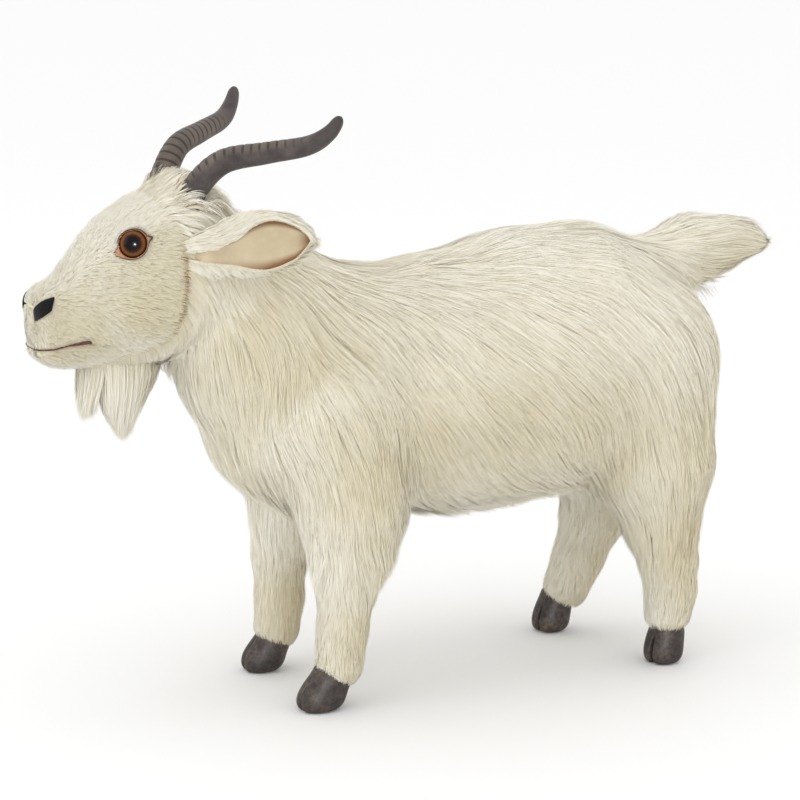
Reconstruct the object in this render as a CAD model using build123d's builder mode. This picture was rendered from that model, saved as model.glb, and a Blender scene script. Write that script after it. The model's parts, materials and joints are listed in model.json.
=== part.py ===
from build123d import *
import os
from math import atan2, cos, degrees, radians, sin, sqrt

# Plush long-haired goat with a bendable wire armature.
# Frame: millimetres, +Z up, the goat faces -Y, its left side is +X,
# the origin is on the floor under the middle of the whole toy.

os.makedirs("parts", exist_ok=True)

# ---------------------------------------------------------------- dimensions
LENGTH = 523.0                 # nose to tail tip
NOSE_Y = -LENGTH / 2
TAIL_TIP_Y = LENGTH / 2
SKIN = 2.5                     # backing fabric and pile, where it is a shell
GAP = 0.3                      # play between fill and fabric
CLEAR = 0.6                    # play between two moving bodies

# trunk: a barrel turned about a level line, and a neck cone leaning forward
BARREL_Z = 200.0
BARREL_FRONT = (-70.0, 66.0)   # y of the front dome's centre, its radius
BARREL_MID = (50.0, 77.0)
BARREL_REAR = (118.0, 77.5)
NECK_FROM, NECK_TO = (0, -55, 190), (0, -140, 258)
NECK_R0, NECK_R1 = 62.0, 56.0
NECK_HALF_W = 44.0             # the neck is flatter at the sides, behind the ears

# head: it turns about a vertical axis inside the cupped end of the neck
HEAD_AXIS_Y = -160.0
BALL_Z, BALL_R, BALL_H = 277.0, 45.0, 55.0
NECK_RIM_Y = -160.0
NECK_RIM_Z = 216.0
# face: (y, centre z, half width, half height)
FACE = [(NOSE_Y, 252, 11, 10), (-258, 251, 18, 20), (-248, 253, 24, 28), (-236, 257, 28, 33),
        (-222, 265, 33, 41), (-206, 272, 38.5, 47.5), (-190, 277, 43, 51), (-172, 279, 45, 52)]

# horn centre line and radii, left side
HORN = [((25, -161, 318), 8.6), ((28, -157, 334), 8.4), ((39, -146, 349), 7.9),
        ((55, -126, 355), 7.2), ((70, -106, 360), 6.4), ((80, -94, 368), 5.4), ((86, -88, 379), 4.4)]
HORN_SKIN = 1.2

# eye
EYE_C = (31.8, -202.7, 302.2)
EYE_N = (0.87, -0.44, 0.21)
EYE_R = 9.0

# ear, left side: base point, length, half height, thickness of each layer
EAR_BASE = (48.5, -176.0, 300.0)
EAR_TURN = 15.4                # degrees outward from straight back
EAR_LEN, EAR_HALF, EAR_LAYER = 84.0, 20.0, 2.2
EAR_ROLL_R, EAR_ROLL_H = 2.6, 18.0   # rolled root, stitched to the head; the ear turns about it
BEARD_PIN = (-203.0, 221.0)    # y, z of the beard's rolled top edge
BEARD_ROLL_R, BEARD_ROLL_W = 2.2, 20.0

# tail
TAIL_PIVOT = (0, 176.0, 266.0)
TAIL_ROOT_R = 14.0

# legs: hip or shoulder pivot (y, z), disc radius, then leg line (y, z, half x, half y)
ARM_X0, ARM_X1 = 31.0, 68.0
LEG_X_FRONT, LEG_X_HIND = 46.0, 47.0
LEGS = {
    "left_front": dict(s=1, x=LEG_X_FRONT, p=(-76, 163), r=40.0,
                       line=[(-74, 128, 19, 33), (-73, 98, 18, 26), (-74, 70, 16.5, 17.5), (-75, 45, 15.5, 16), (-76, 22, 16, 17)], hoof=-88, knee=(-72, 90), ankle=(-78, 9)),
    "right_front": dict(s=-1, x=LEG_X_FRONT, p=(-76, 163), r=40.0,
                        line=[(-76, 128, 19, 33), (-77, 98, 18, 26), (-78, 70, 16.5, 17.5), (-78, 45, 15.5, 16), (-79, 22, 16, 17)], hoof=-90, knee=(-78, 90), ankle=(-80, 9)),
    "left_hind": dict(s=1, x=LEG_X_HIND, p=(148, 168), r=46.0,
                      line=[(158, 128, 20, 38), (164, 98, 19, 29), (164, 72, 17.5, 20.5), (162, 45, 16.5, 18), (160, 22, 16, 17)], hoof=157, knee=(165, 95), ankle=(159, 9)),
    "right_hind": dict(s=-1, x=LEG_X_HIND, p=(148, 168), r=46.0,
                       line=[(158, 128, 20, 38), (160, 98, 19, 29), (152, 72, 17.5, 20.5), (139, 45, 16.5, 18), (128, 22, 16, 17)], hoof=123, knee=(161, 98), ankle=(123, 9)),
}
CUFF_Z = 62.0                  # where long pile changes to short pile
HOOF_H = 21.7
WIRE_R = 1.5                   # armature wire
PIVOT_HOLE_R = 7.0

SPINE = [(0, 176, 238), (0, 162, 226), (0, -92, 226), (0, -118, 208), (0, HEAD_AXIS_Y, 206), (0, HEAD_AXIS_Y, 268)]
SPINE_Z = 226.0
TIE_R = 1.2                    # upright tie between a cross wire and the spine

# ---------------------------------------------------------------- helpers


def y_plane(y, z):
    """Section plane across the body, local x along +X and local y along +Z."""
    return Plane(origin=(0, y, z), x_dir=(1, 0, 0), z_dir=(0, -1, 0))


def trunk_form(inset):
    """Barrel of the body with the neck rising from it."""
    yf, rf = BARREL_FRONT[0], BARREL_FRONT[1] - inset
    ym, rm = BARREL_MID[0], BARREL_MID[1] - inset
    yr, rr = BARREL_REAR[0], BARREL_REAR[1] - inset
    q = sqrt(0.5)
    with BuildPart() as barrel:
        with BuildSketch(Plane(origin=(0, 0, BARREL_Z), x_dir=(0, 1, 0), z_dir=(1, 0, 0))):
            with BuildLine():
                ThreePointArc((yf - rf, 0), (yf - rf * q, rf * q), (yf, rf))
                Line((yf, rf), (ym, rm))
                Line((ym, rm), (yr, rr))
                ThreePointArc((yr, rr), (yr + rr * q, rr * q), (yr + rr, 0))
                Line((yr + rr, 0), (yf - rf, 0))
            make_face()
        revolve(axis=Axis((0, 0, BARREL_Z), (0, 1, 0)), revolution_arc=360)
    v = Vector(*NECK_TO) - Vector(*NECK_FROM)
    with BuildPart(Plane(origin=NECK_FROM, x_dir=(1, 0, 0), z_dir=(v.X, v.Y, v.Z))) as neck:
        Cone(NECK_R0 - inset, NECK_R1 - inset, v.length - inset, align=(Align.CENTER, Align.CENTER, Align.MIN))
        Box(2 * (NECK_HALF_W - inset), 300, 400, mode=Mode.INTERSECT)
    with BuildPart() as both:
        add(barrel.part)
        add(neck.part)
    return both.part


def ball_form(grow):
    """Capsule standing on the head's axis: the back of the head, or the cup for it."""
    r, h, q = BALL_R + grow, BALL_H - BALL_R, sqrt(0.5)
    pl = Plane(origin=(0, HEAD_AXIS_Y, BALL_Z), x_dir=(1, 0, 0), z_dir=(0, -1, 0))
    with BuildPart() as ball:
        with BuildSketch(pl):
            with BuildLine():
                ThreePointArc((0, -h - r), (r * q, -h - r * q), (r, -h))
                Line((r, -h), (r, h))
                ThreePointArc((r, h), (r * q, h + r * q), (0, h + r))
                Line((0, h + r), (0, -h - r))
            make_face()
        revolve(axis=Axis((0, HEAD_AXIS_Y, BALL_Z), (0, 0, 1)), revolution_arc=360)
    return ball.part


def face_form(inset):
    with BuildPart() as face:
        for i, (y, z, w, h) in enumerate(FACE):
            yy = y + inset if i == 0 else y
            with BuildSketch(y_plane(yy, z)):
                Ellipse(w - inset, h - inset)
        loft()
    return face.part


def head_form(inset):
    with BuildPart() as head:
        add(ball_form(-inset))
        add(face_form(inset))
    return head.part


def x_rod(p, r, x0, x1, s=1):
    """Round bar along X between x0 and x1 on side s, centred on (y, z) = p."""
    a, b = (x0, x1) if s > 0 else (-x1, -x0)
    with BuildPart() as rod:
        with BuildSketch(Plane(origin=(a, p[0], p[1]), x_dir=(0, 1, 0), z_dir=(1, 0, 0))):
            Circle(r)
        extrude(amount=b - a)
    return rod.part


def wire(points, r, radius):
    with BuildPart() as w:
        with BuildLine() as path:
            if len(points) > 2:
                FilletPolyline(*points, radius=radius)
            else:
                Line(*points)
        with BuildSketch(Plane(origin=path.line @ 0, z_dir=path.line % 0)):
            Circle(r)
        sweep()
    return w.part


def leg_form(leg, inset):
    """Flat rounded shoulder or haunch with the leg running down from it."""
    s, x, p = leg["s"], leg["x"], leg["p"]
    a, b = ARM_X0 + inset, ARM_X1 - inset
    r = leg["r"] - inset
    with BuildPart() as form:
        x0 = a if s > 0 else -b
        with BuildSketch(Plane(origin=(x0, p[0], p[1]), x_dir=(0, 1, 0), z_dir=(1, 0, 0))):
            Circle(r)
        extrude(amount=b - a)
        outer = form.edges().filter_by(GeomType.CIRCLE).sort_by(Axis.X)[-1 if s > 0 else 0]
        fillet(outer, radius=16 - inset)
    with BuildPart() as shank:
        line = leg["line"]
        for i, (y, z, hx, hy) in enumerate(line):
            zz = z + inset * 0 if i else z
            with BuildSketch(Plane(origin=(s * x, y, zz), x_dir=(1, 0, 0), z_dir=(0, 0, 1))):
                Ellipse(hx - inset, hy - inset)
        loft()
    with BuildPart() as both:
        add(form.part)
        add(shank.part)
    return both.part


def z_slab(z0, z1):
    with BuildPart() as slab:
        with BuildSketch(Plane.XY.offset(z0)):
            Rectangle(900, 900)
        extrude(amount=z1 - z0)
    return slab.part


def horn_form(points, inset, s):
    with BuildPart() as horn:
        n = len(points)
        for i, (c, r) in enumerate(points):
            q0 = Vector(*points[max(i - 1, 0)][0])
            q1 = Vector(*points[min(i + 1, n - 1)][0])
            d = (q1 - q0).normalized()
            pl = Plane(origin=(s * c[0], c[1], c[2]), x_dir=(0, 1, 0), z_dir=(s * d.X, d.Y, d.Z))
            with BuildSketch(pl):
                Circle(r - inset)
        loft()
    return horn.part


# ---------------------------------------------------------------- armature
spine = wire(SPINE, WIRE_R, 18)
with BuildPart() as spine_wire:
    add(spine)
spine_wire.part.label = "spine_wire"
export_step(spine_wire.part, "parts/spine_wire.step")

for nm, key in (("front_cross_wire", "left_front"), ("hind_cross_wire", "left_hind")):
    p = LEGS[key]["p"]
    with BuildPart() as cw:
        with BuildSketch(Plane(origin=(-56, p[0], p[1]), x_dir=(0, 1, 0), z_dir=(1, 0, 0))):
            Circle(WIRE_R)
        extrude(amount=112)
        # upright wire that is tied under the spine
        with BuildSketch(Plane.XY.offset(p[1])):
            with Locations((0, p[0])):
                Circle(TIE_R)
        extrude(amount=SPINE_Z - WIRE_R - 0.3 - p[1])
    cw.part.label = nm
    export_step(cw.part, f"parts/{nm}.step")

# ---------------------------------------------------------------- trunk
tail_y, tail_z = TAIL_PIVOT[1], TAIL_PIVOT[2]


def trunk_cut(inset, name):
    """Trunk form with the neck cup, the leg sockets and the tail notch cut into it."""
    with BuildPart() as t:
        add(trunk_form(inset))
        add(ball_form(CLEAR + inset), mode=Mode.SUBTRACT)
        # open front above the throat
        with BuildSketch(Plane.XY.offset(NECK_RIM_Z - inset)):
            with Locations((0, NECK_RIM_Y + inset)):
                Rectangle(300, 200, align=(Align.CENTER, Align.MAX))
        extrude(amount=300, mode=Mode.SUBTRACT)
        for leg in LEGS.values():
            s, p = leg["s"], leg["p"]
            add(x_rod(p, leg["r"] + CLEAR + inset, ARM_X0 - CLEAR - inset, 120, s), mode=Mode.SUBTRACT)
        # the leg's swinging upper end needs room below each socket
        for leg in LEGS.values():
            s, p = leg["s"], leg["p"]
            x0 = s * (ARM_X0 - 5.0 - inset)
            with Locations((x0, p[0], p[1])):
                Box(100, 2 * (leg["r"] + 8 + inset), 130,
                    align=(Align.MIN if s > 0 else Align.MAX, Align.CENTER, Align.MAX), mode=Mode.SUBTRACT)
        add(x_rod((tail_y, tail_z), TAIL_ROOT_R + CLEAR + inset, 0, 21 + inset, 1), mode=Mode.SUBTRACT)
        add(x_rod((tail_y, tail_z), TAIL_ROOT_R + CLEAR + inset, 0, 21 + inset, -1), mode=Mode.SUBTRACT)
        with BuildSketch(Plane(origin=(-21 - inset, tail_y, tail_z), x_dir=(0, 1, 0), z_dir=(1, 0, 0))):
            with BuildLine():
                Polyline((0, 0), (-6 - inset, 60), (60, 60), (60, -30), (4, -30), close=True)
            make_face()
        extrude(amount=42 + 2 * inset, mode=Mode.SUBTRACT)
    return t.part.solids().sort_by(SortBy.VOLUME)[-1]


outer = trunk_cut(0, "outer")
inner = trunk_cut(SKIN, "inner")
fill = trunk_cut(SKIN + GAP, "fill")

wire_room = []
wire_room.append(wire(SPINE, WIRE_R + 0.4, 18))
for key in ("left_front", "left_hind"):
    p = LEGS[key]["p"]
    wire_room.append(x_rod(p, WIRE_R + 0.4, -80, 80))
    with BuildPart() as up:
        with BuildSketch(Plane.XY.offset(p[1])):
            with Locations((0, p[0])):
                Circle(WIRE_R + 0.4)
        extrude(amount=SPINE_Z - p[1])
    wire_room.append(up.part)

with BuildPart() as trunk_cover:
    add(outer)
    add(inner, mode=Mode.SUBTRACT)
    for w in wire_room:
        add(w, mode=Mode.SUBTRACT)
trunk_cover.part.label = "trunk_cover"
export_step(trunk_cover.part, "parts/trunk_cover.step")

with BuildPart() as trunk_stuffing:
    add(fill)
    for w in wire_room:
        add(w, mode=Mode.SUBTRACT)
trunk_stuffing.part.label = "trunk_stuffing"
export_step(trunk_stuffing.part, "parts/trunk_stuffing.step")

# ---------------------------------------------------------------- head
head_outer = head_form(0)
head_inner = head_form(SKIN)
head_fill = head_form(SKIN + GAP)


def side(v, s):
    return (s * v[0], v[1], v[2])


def eye_plane(s, depth):
    n = Vector(*side(EYE_N, s)).normalized()
    o = Vector(*side(EYE_C, s)) + n * depth
    return Plane(origin=(o.X, o.Y, o.Z), z_dir=(n.X, n.Y, n.Z))


def eye_well(s):
    """Round well that takes the eye's dome, stem and lock washer."""
    with BuildPart() as well:
        with BuildSketch(eye_plane(s, -14)):
            Circle(EYE_R + 0.4)
        extrude(amount=30)
    return well.part


with BuildPart() as pin_room:
    with BuildSketch(Plane.XY.offset(200)):
        with Locations((0, HEAD_AXIS_Y)):
            Circle(WIRE_R + 0.9)
    extrude(amount=70)

with BuildPart() as head_cover:
    add(head_outer)
    add(head_inner, mode=Mode.SUBTRACT)
    add(eye_well(1), mode=Mode.SUBTRACT)
    add(eye_well(-1), mode=Mode.SUBTRACT)
    add(pin_room.part, mode=Mode.SUBTRACT)
head_cover.part.label = "head_cover"
export_step(head_cover.part, "parts/head_cover.step")

with BuildPart() as head_stuffing:
    add(head_fill)
    add(eye_well(1), mode=Mode.SUBTRACT)
    add(eye_well(-1), mode=Mode.SUBTRACT)
    add(pin_room.part, mode=Mode.SUBTRACT)
head_stuffing.part.label = "head_stuffing"
export_step(head_stuffing.part, "parts/head_stuffing.step")

washers = []
for nm, s in (("left", 1), ("right", -1)):
    with BuildPart() as eye:
        with BuildSketch(eye_plane(s, -2.0)):
            Circle(EYE_R)
        extrude(amount=3.0)
        front = eye.faces().sort_by(Axis(eye_plane(s, 0).origin, eye_plane(s, 0).z_dir))[-1]
        with BuildSketch(front):
            Circle(EYE_R - 0.1)
        extrude(amount=3.6, taper=38)
        with BuildSketch(eye_plane(s, -13.0)):
            Circle(2.2)
        extrude(amount=11.5)
    eye.part.label = f"{nm}_eye"
    export_step(eye.part, f"parts/{nm}_eye.step")
    with BuildPart() as washer:
        with BuildSketch(eye_plane(s, -6.5)):
            Circle(8.0)
            Circle(2.5, mode=Mode.SUBTRACT)
        extrude(amount=1.5)
    washers.append(washer.part)
    # leather lid liner: a collar standing around the eye
    with BuildPart() as lid:
        with BuildSketch(eye_plane(s, -6)):
            Ellipse(EYE_R + 4.0, EYE_R + 2.6)
            Circle(EYE_R + 0.3, mode=Mode.SUBTRACT)
        extrude(amount=8.0)
        add(head_outer, mode=Mode.SUBTRACT)
    big = lid.part.solids().sort_by(SortBy.VOLUME)[-1]
    with BuildPart() as lid2:
        add(big)
    lid2.part.label = f"{nm}_eyelid"
    export_step(lid2.part, f"parts/{nm}_eyelid.step")

eye_washers = Compound(label="eye_washers", children=washers)
export_step(eye_washers, "parts/eye_washers.step")

# nostril patches: thin felt lying on the end of the muzzle
patches = []
for s in (1, -1):
    pl = Plane(origin=(s * 11, -250, 264), z_dir=(s * 0.55, -0.8, 0.2))
    with BuildPart() as patch:
        with BuildSketch(pl):
            Ellipse(7.5, 6.0)
        extrude(amount=12.0)
        add(head_form(-1.0), mode=Mode.INTERSECT)
        add(head_outer, mode=Mode.SUBTRACT)
    patches.append(patch.part.solids().sort_by(SortBy.VOLUME)[-1])
nostril_patches = Compound(label="nostril_patches", children=patches)
export_step(nostril_patches, "parts/nostril_patches.step")

# mouth: one row of thread laid around the muzzle
with BuildPart() as mouth_thread:
    with BuildSketch(Plane.XY.offset(240)):
        with Locations((0, -268)):
            Rectangle(120, 40, align=(Align.CENTER, Align.MIN))
    extrude(amount=1.4)
    add(head_form(-0.9), mode=Mode.INTERSECT)
    add(head_outer, mode=Mode.SUBTRACT)
mouth_thread.part.label = "mouth_thread"
export_step(mouth_thread.part, "parts/mouth_thread.step")

# ---------------------------------------------------------------- horns
ball_out = ball_form(0.25)
face_out = face_form(-0.25)
for nm, s in (("left", 1), ("right", -1)):
    solid = horn_form(HORN, 0, s)
    core_pts = HORN[:-1] + [((85.2, -88.9, 377.0), 4.4)]
    core_room = horn_form(core_pts, HORN_SKIN, s)
    core = horn_form(core_pts, HORN_SKIN + 0.25, s)
    with BuildPart() as horn:
        add(solid)
        add(core_room, mode=Mode.SUBTRACT)
        add(ball_out, mode=Mode.SUBTRACT)
        add(face_out, mode=Mode.SUBTRACT)
    h = horn.part.solids().sort_by(SortBy.VOLUME)[-1]
    with BuildPart() as horn2:
        add(h)
    horn2.part.label = f"{nm}_horn"
    export_step(horn2.part, f"parts/{nm}_horn.step")
    with BuildPart() as hs:
        add(core)
        add(ball_out, mode=Mode.SUBTRACT)
        add(face_out, mode=Mode.SUBTRACT)
    h = hs.part.solids().sort_by(SortBy.VOLUME)[-1]
    with BuildPart() as hs2:
        add(h)
    hs2.part.label = f"{nm}_horn_stuffing"
    export_step(hs2.part, f"parts/{nm}_horn_stuffing.step")

# ---------------------------------------------------------------- ears
for nm, s in (("left", 1), ("right", -1)):
    t = radians(EAR_TURN)
    for layer, (off, k) in {"ear_lining": (EAR_LAYER + 0.2, 0.88), "ear_cover": (0.0, 1.0)}.items():
        pl = Plane(origin=(s * (EAR_BASE[0] + off * cos(t)), EAR_BASE[1] - off * sin(t), EAR_BASE[2]),
                   x_dir=(s * sin(t), cos(t), 0), z_dir=(s * cos(t), -sin(t), 0))
        sg = s  # local y runs up on the left and down on the right
        with BuildPart() as ear:
            with BuildSketch(pl):
                with BuildLine():
                    Spline([(3, -9 * k * sg), (30, -19 * k * sg), (56, -17 * k * sg), (EAR_LEN * k, 2 * sg)])
                    Spline([(EAR_LEN * k, 2 * sg), (60, 17 * k * sg), (30, EAR_HALF * k * sg), (3, 9 * k * sg)])
                    Line((3, 9 * k * sg), (3, -9 * k * sg))
                make_face()
            extrude(amount=EAR_LAYER)
            if layer == "ear_cover":
                with BuildSketch(pl.offset(EAR_LAYER / 2)):
                    with Locations((1.6, 0)):
                        Rectangle(3.2, EAR_ROLL_H - 2)
                extrude(amount=EAR_LAYER / 4, both=True)
                mid = pl.offset(EAR_LAYER / 2).origin
                with Locations((mid.X, mid.Y, mid.Z)):
                    Cylinder(EAR_ROLL_R, EAR_ROLL_H)
        ear.part.label = f"{nm}_{layer}"
        export_step(ear.part, f"parts/{nm}_{layer}.step")

# ---------------------------------------------------------------- beard
with BuildPart() as beard:
    for z, y, hx, hy in ((220.0, -203, 13, 20), (205, -204, 13.5, 19), (190, -204, 11, 15), (173, -202, 4, 5)):
        with BuildSketch(Plane(origin=(0, y, z), x_dir=(1, 0, 0), z_dir=(0, 0, -1))):
            Ellipse(hx, hy)
    loft()
    add(x_rod(BEARD_PIN, BEARD_ROLL_R, -BEARD_ROLL_W / 2, BEARD_ROLL_W / 2))
beard.part.label = "beard"
export_step(beard.part, "parts/beard.step")

# ---------------------------------------------------------------- tail
def tail_form(inset):
    with BuildPart() as tf:
        for y, z, w, h in ((176, 267, 19, 13), (196, 269, 20, 17), (218, 269, 21, 19), (240, 266, 18, 16), (254, 265, 11, 10), (TAIL_TIP_Y - inset, 266, 4.5, 4)):
            with BuildSketch(y_plane(y, z)):
                Ellipse(w - inset, h - inset)
        loft()
    with BuildPart() as both:
        add(tf.part)
        add(x_rod((tail_y, tail_z), TAIL_ROOT_R - inset, -(20 - inset), 20 - inset))
    return both.part


with BuildPart() as tail_cover:
    add(tail_form(0))
    add(tail_form(1.8), mode=Mode.SUBTRACT)
tail_cover.part.label = "tail_cover"
export_step(tail_cover.part, "parts/tail_cover.step")
with BuildPart() as tail_stuffing:
    add(tail_form(2.1))
tail_stuffing.part.label = "tail_stuffing"
export_step(tail_stuffing.part, "parts/tail_stuffing.step")

# ---------------------------------------------------------------- legs
for nm, leg in LEGS.items():
    s, x, p = leg["s"], leg["x"], leg["p"]
    line = leg["line"]
    foot = (line[-1][0], line[-1][1])
    knee, ankle = leg["knee"], leg["ankle"]
    pts = [(s * x, p[0], p[1] - 4.0), (s * x, knee[0], knee[1]), (s * x, ankle[0], ankle[1])]
    room = wire(pts, WIRE_R + 0.4, 40)
    eye_room = x_rod(p, PIVOT_HOLE_R, ARM_X0 - 10, 60, s)
    with BuildPart() as leg_wire:
        add(x_rod(p, 5.6, x - 1.8, x + 1.8, s))
        add(x_rod(p, WIRE_R + 0.5, x - 5, x + 5, s), mode=Mode.SUBTRACT)
        add(wire(pts, WIRE_R, 40))
    leg_wire.part.label = f"{nm}_leg_wire"
    export_step(leg_wire.part, f"parts/{nm}_leg_wire.step")

    lo, li, lf = leg_form(leg, 0), leg_form(leg, SKIN), leg_form(leg, SKIN + GAP)
    with BuildPart() as shell:
        add(lo)
        add(li, mode=Mode.SUBTRACT)
        add(eye_room, mode=Mode.SUBTRACT)
    with BuildPart() as upper:
        add(shell.part)
        add(z_slab(-5, CUFF_Z), mode=Mode.SUBTRACT)
    upper.part.label = f"{nm}_thigh_cover" if "hind" in nm else f"{nm}_upper_leg_cover"
    export_step(upper.part, f"parts/{upper.part.label}.step")
    with BuildPart() as lower:
        add(shell.part)
        add(z_slab(CUFF_Z - 0.2, 400), mode=Mode.SUBTRACT)
    lower.part.label = f"{nm}_lower_leg_cover"
    export_step(lower.part, f"parts/{lower.part.label}.step")
    with BuildPart() as lst:
        add(lf)
        add(room, mode=Mode.SUBTRACT)
        add(eye_room, mode=Mode.SUBTRACT)
    lst.part.label = f"{nm}_leg_stuffing"
    export_step(lst.part, f"parts/{nm}_leg_stuffing.step")

    # cloven hoof, toes split from the front; the front pair is longer
    hy = leg["hoof"]
    hw, hl = (26.0, 30.0) if "front" in nm else (25.0, 26.0)
    with BuildPart() as hoof:
        with BuildSketch(Plane.XY):
            with Locations((s * x, hy - 2.5)):
                RectangleRounded(hw - 5, hl - 8, 8)
        with BuildSketch(Plane.XY.offset(6)):
            with Locations((s * x, hy - 1)):
                RectangleRounded(hw, hl, 11.5)
        with BuildSketch(Plane.XY.offset(12)):
            with Locations((s * x, hy + (foot[0] - hy) * 0.3)):
                RectangleRounded(hw, hl, 11.5)
        with BuildSketch(Plane.XY.offset(HOOF_H)):
            with Locations((s * x, foot[0] + (hy - foot[0]) * 0.35)):
                RectangleRounded(hw - 1, hl - 1, 11)
        loft(ruled=True)
        with BuildSketch(Plane.XY):
            with Locations((s * x, hy - hl)):
                Rectangle(2.4, hl + 1, align=(Align.CENTER, Align.MIN))
        extrude(amount=17, mode=Mode.SUBTRACT)
        add(room, mode=Mode.SUBTRACT)
    hoof.part.label = f"{nm}_hoof"
    export_step(hoof.part, f"parts/{nm}_hoof.step")
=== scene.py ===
import json
import math
import bmesh
import bpy
import numpy as np
from mathutils import Vector, Matrix, kdtree

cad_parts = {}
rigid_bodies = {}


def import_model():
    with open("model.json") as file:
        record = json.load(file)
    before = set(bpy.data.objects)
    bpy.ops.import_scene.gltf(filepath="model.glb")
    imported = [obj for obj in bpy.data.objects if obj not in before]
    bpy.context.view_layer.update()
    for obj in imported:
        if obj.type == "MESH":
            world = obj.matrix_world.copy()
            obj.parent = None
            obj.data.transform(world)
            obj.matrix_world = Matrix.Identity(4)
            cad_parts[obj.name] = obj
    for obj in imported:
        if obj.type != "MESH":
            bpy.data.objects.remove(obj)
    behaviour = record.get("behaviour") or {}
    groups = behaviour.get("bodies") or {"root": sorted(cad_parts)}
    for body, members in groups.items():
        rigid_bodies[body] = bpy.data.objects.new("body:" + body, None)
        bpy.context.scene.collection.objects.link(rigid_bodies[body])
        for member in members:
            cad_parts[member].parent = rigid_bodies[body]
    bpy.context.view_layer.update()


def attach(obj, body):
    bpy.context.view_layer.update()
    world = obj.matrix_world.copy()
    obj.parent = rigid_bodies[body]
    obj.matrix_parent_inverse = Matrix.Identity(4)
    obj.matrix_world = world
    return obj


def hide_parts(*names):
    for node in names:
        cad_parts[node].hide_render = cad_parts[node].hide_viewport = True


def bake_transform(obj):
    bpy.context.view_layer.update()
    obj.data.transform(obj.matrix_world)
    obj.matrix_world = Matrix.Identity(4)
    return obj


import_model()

MM = 0.001
rng = np.random.default_rng(20261117)
scene = bpy.context.scene
scene.view_settings.view_transform = "Standard"


# ------------------------------------------------------------------ small helpers
def lin(rgb):
    """sRGB 0..255 to linear."""
    c = np.asarray(rgb, float) / 255.0
    return tuple(np.where(c <= 0.04045, c / 12.92, ((c + 0.055) / 1.055) ** 2.4))


def unit(v):
    return v / np.maximum(np.linalg.norm(v, axis=-1, keepdims=True), 1e-9)


def smoothstep(a, b, x):
    t = np.clip((x - a) / (b - a), 0, 1)
    return t * t * (3 - 2 * t)


def smin(a, b, k):
    h = np.clip(0.5 + 0.5 * (b - a) / k, 0, 1)
    return b * (1 - h) + a * h - k * h * (1 - h)


# ------------------------------------------------------------------ body form, in mm
def cone(p, a, b, ra, rb, sx=1.0):
    """Distance to a rounded cone from a to b; sx under 1 makes it narrower across X."""
    q = p.copy()
    a, b = np.array(a, float), np.array(b, float)
    q[..., 0] = (q[..., 0] - a[0]) / sx + a[0]
    d = b - a
    t = np.clip(((q - a) @ d) / (d @ d), 0, 1)
    return np.linalg.norm(q - (a + t[..., None] * d), axis=-1) - (ra + t * (rb - ra))


def chain(p, pts, k=8.0, sx=1.0):
    d = None
    for (a, ra), (b, rb) in zip(pts[:-1], pts[1:]):
        c = cone(p, a, b, ra, rb, sx)
        d = c if d is None else smin(d, c, k)
    return d


def ellipsoid(p, c, r):
    q = p - np.array(c, float)
    r = np.array(r, float)
    k0 = np.linalg.norm(q / r, axis=-1)
    k1 = np.linalg.norm(q / (r * r), axis=-1)
    return k0 * (k0 - 1) / np.maximum(k1, 1e-6)


TRUNK = [((0, -84, 188), 52), ((0, -50, 197), 65), ((0, 10, 199), 69), ((0, 70, 205), 75), ((0, 112, 206), 74.5), ((0, 130, 204), 65)]
NECK = [((0, -62, 205), 58), ((0, -110, 240), 49), ((0, -148, 272), 41)]
LEG_CHAINS = {
    "left_front": [((40, -78, 190), 40), ((43, -67, 130), 28.5), ((45, -67.5, 100), 19.5), ((45.5, -71, 78), 15.5), ((46, -74, 50), 13), ((46, -76, 28), 13)],
    "right_front": [((-40, -78, 190), 40), ((-43, -67, 130), 28), ((-45, -73.5, 98), 18.5), ((-45.5, -79, 76), 14.5), ((-46, -79, 48), 13), ((-46, -81, 28), 13)],
    "left_hind": [((36, 144, 205), 42), ((43, 148, 140), 34.5), ((45, 155, 94), 19.5), ((46, 160, 70), 15.5), ((46.5, 162, 48), 14), ((46.5, 160, 33), 13.5)],
    "right_hind": [((-36, 147, 205), 43), ((-43, 152, 140), 37), ((-45, 158, 98), 23), ((-45.5, 152, 76), 17.5), ((-46, 142, 50), 14.5), ((-46, 133, 31), 13.3)],
}
TAIL = [((0, 166, 256), 17), ((0, 192, 265), 16.5), ((0, 216, 269), 12.5), ((0, 234, 270.5), 6.5), ((0, 245, 268.5), 2.5)]
# head sections: y, top, bottom, half width
HEAD_Y = np.array([-258.5, -257, -254, -249, -241, -231, -221, -210, -200, -190, -178, -165, -150, -138, -128, -124], float)
HEAD_T = np.array([262, 265.5, 269.5, 273.5, 279.5, 290.5, 303, 312, 318.5, 323.5, 329, 335, 330, 320, 300, 285], float)
HEAD_B = np.array([250, 240, 232.5, 229, 227, 226, 226, 227, 228, 229, 231, 236, 246, 255, 266, 276], float)
HEAD_W = np.array([4, 11.5, 16.5, 19.5, 22, 26, 30.5, 35, 39.5, 43, 45, 45, 42, 36, 22, 8], float)
MOUTH = [(0, -258.6, 237.2), (5.9, -256.9, 237.1), (11, -255.6, 237.8), (14.8, -254.1, 238.5), (17.9, -249.5, 239.3), (19.1, -245.4, 240.4), (20.4, -240.2, 242.0), (22.3, -234.5, 243.1), (24.0, -230.0, 244.0), (24.6, -227.6, 243.2)]
NOSTRIL = [(17.4, -247.9, 270.2), (19.4, -250.6, 262.8), (16.4, -254.7, 259.0), (9.3, -257.5, 254.9), (9.7, -257.5, 262.9), (14.7, -254.0, 267.8)]
EYE_C = np.array((33.1, -203.6, 302.1))
EYE_N = np.array((0.87, -0.44, 0.21)) / np.linalg.norm((0.87, -0.44, 0.21))
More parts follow.
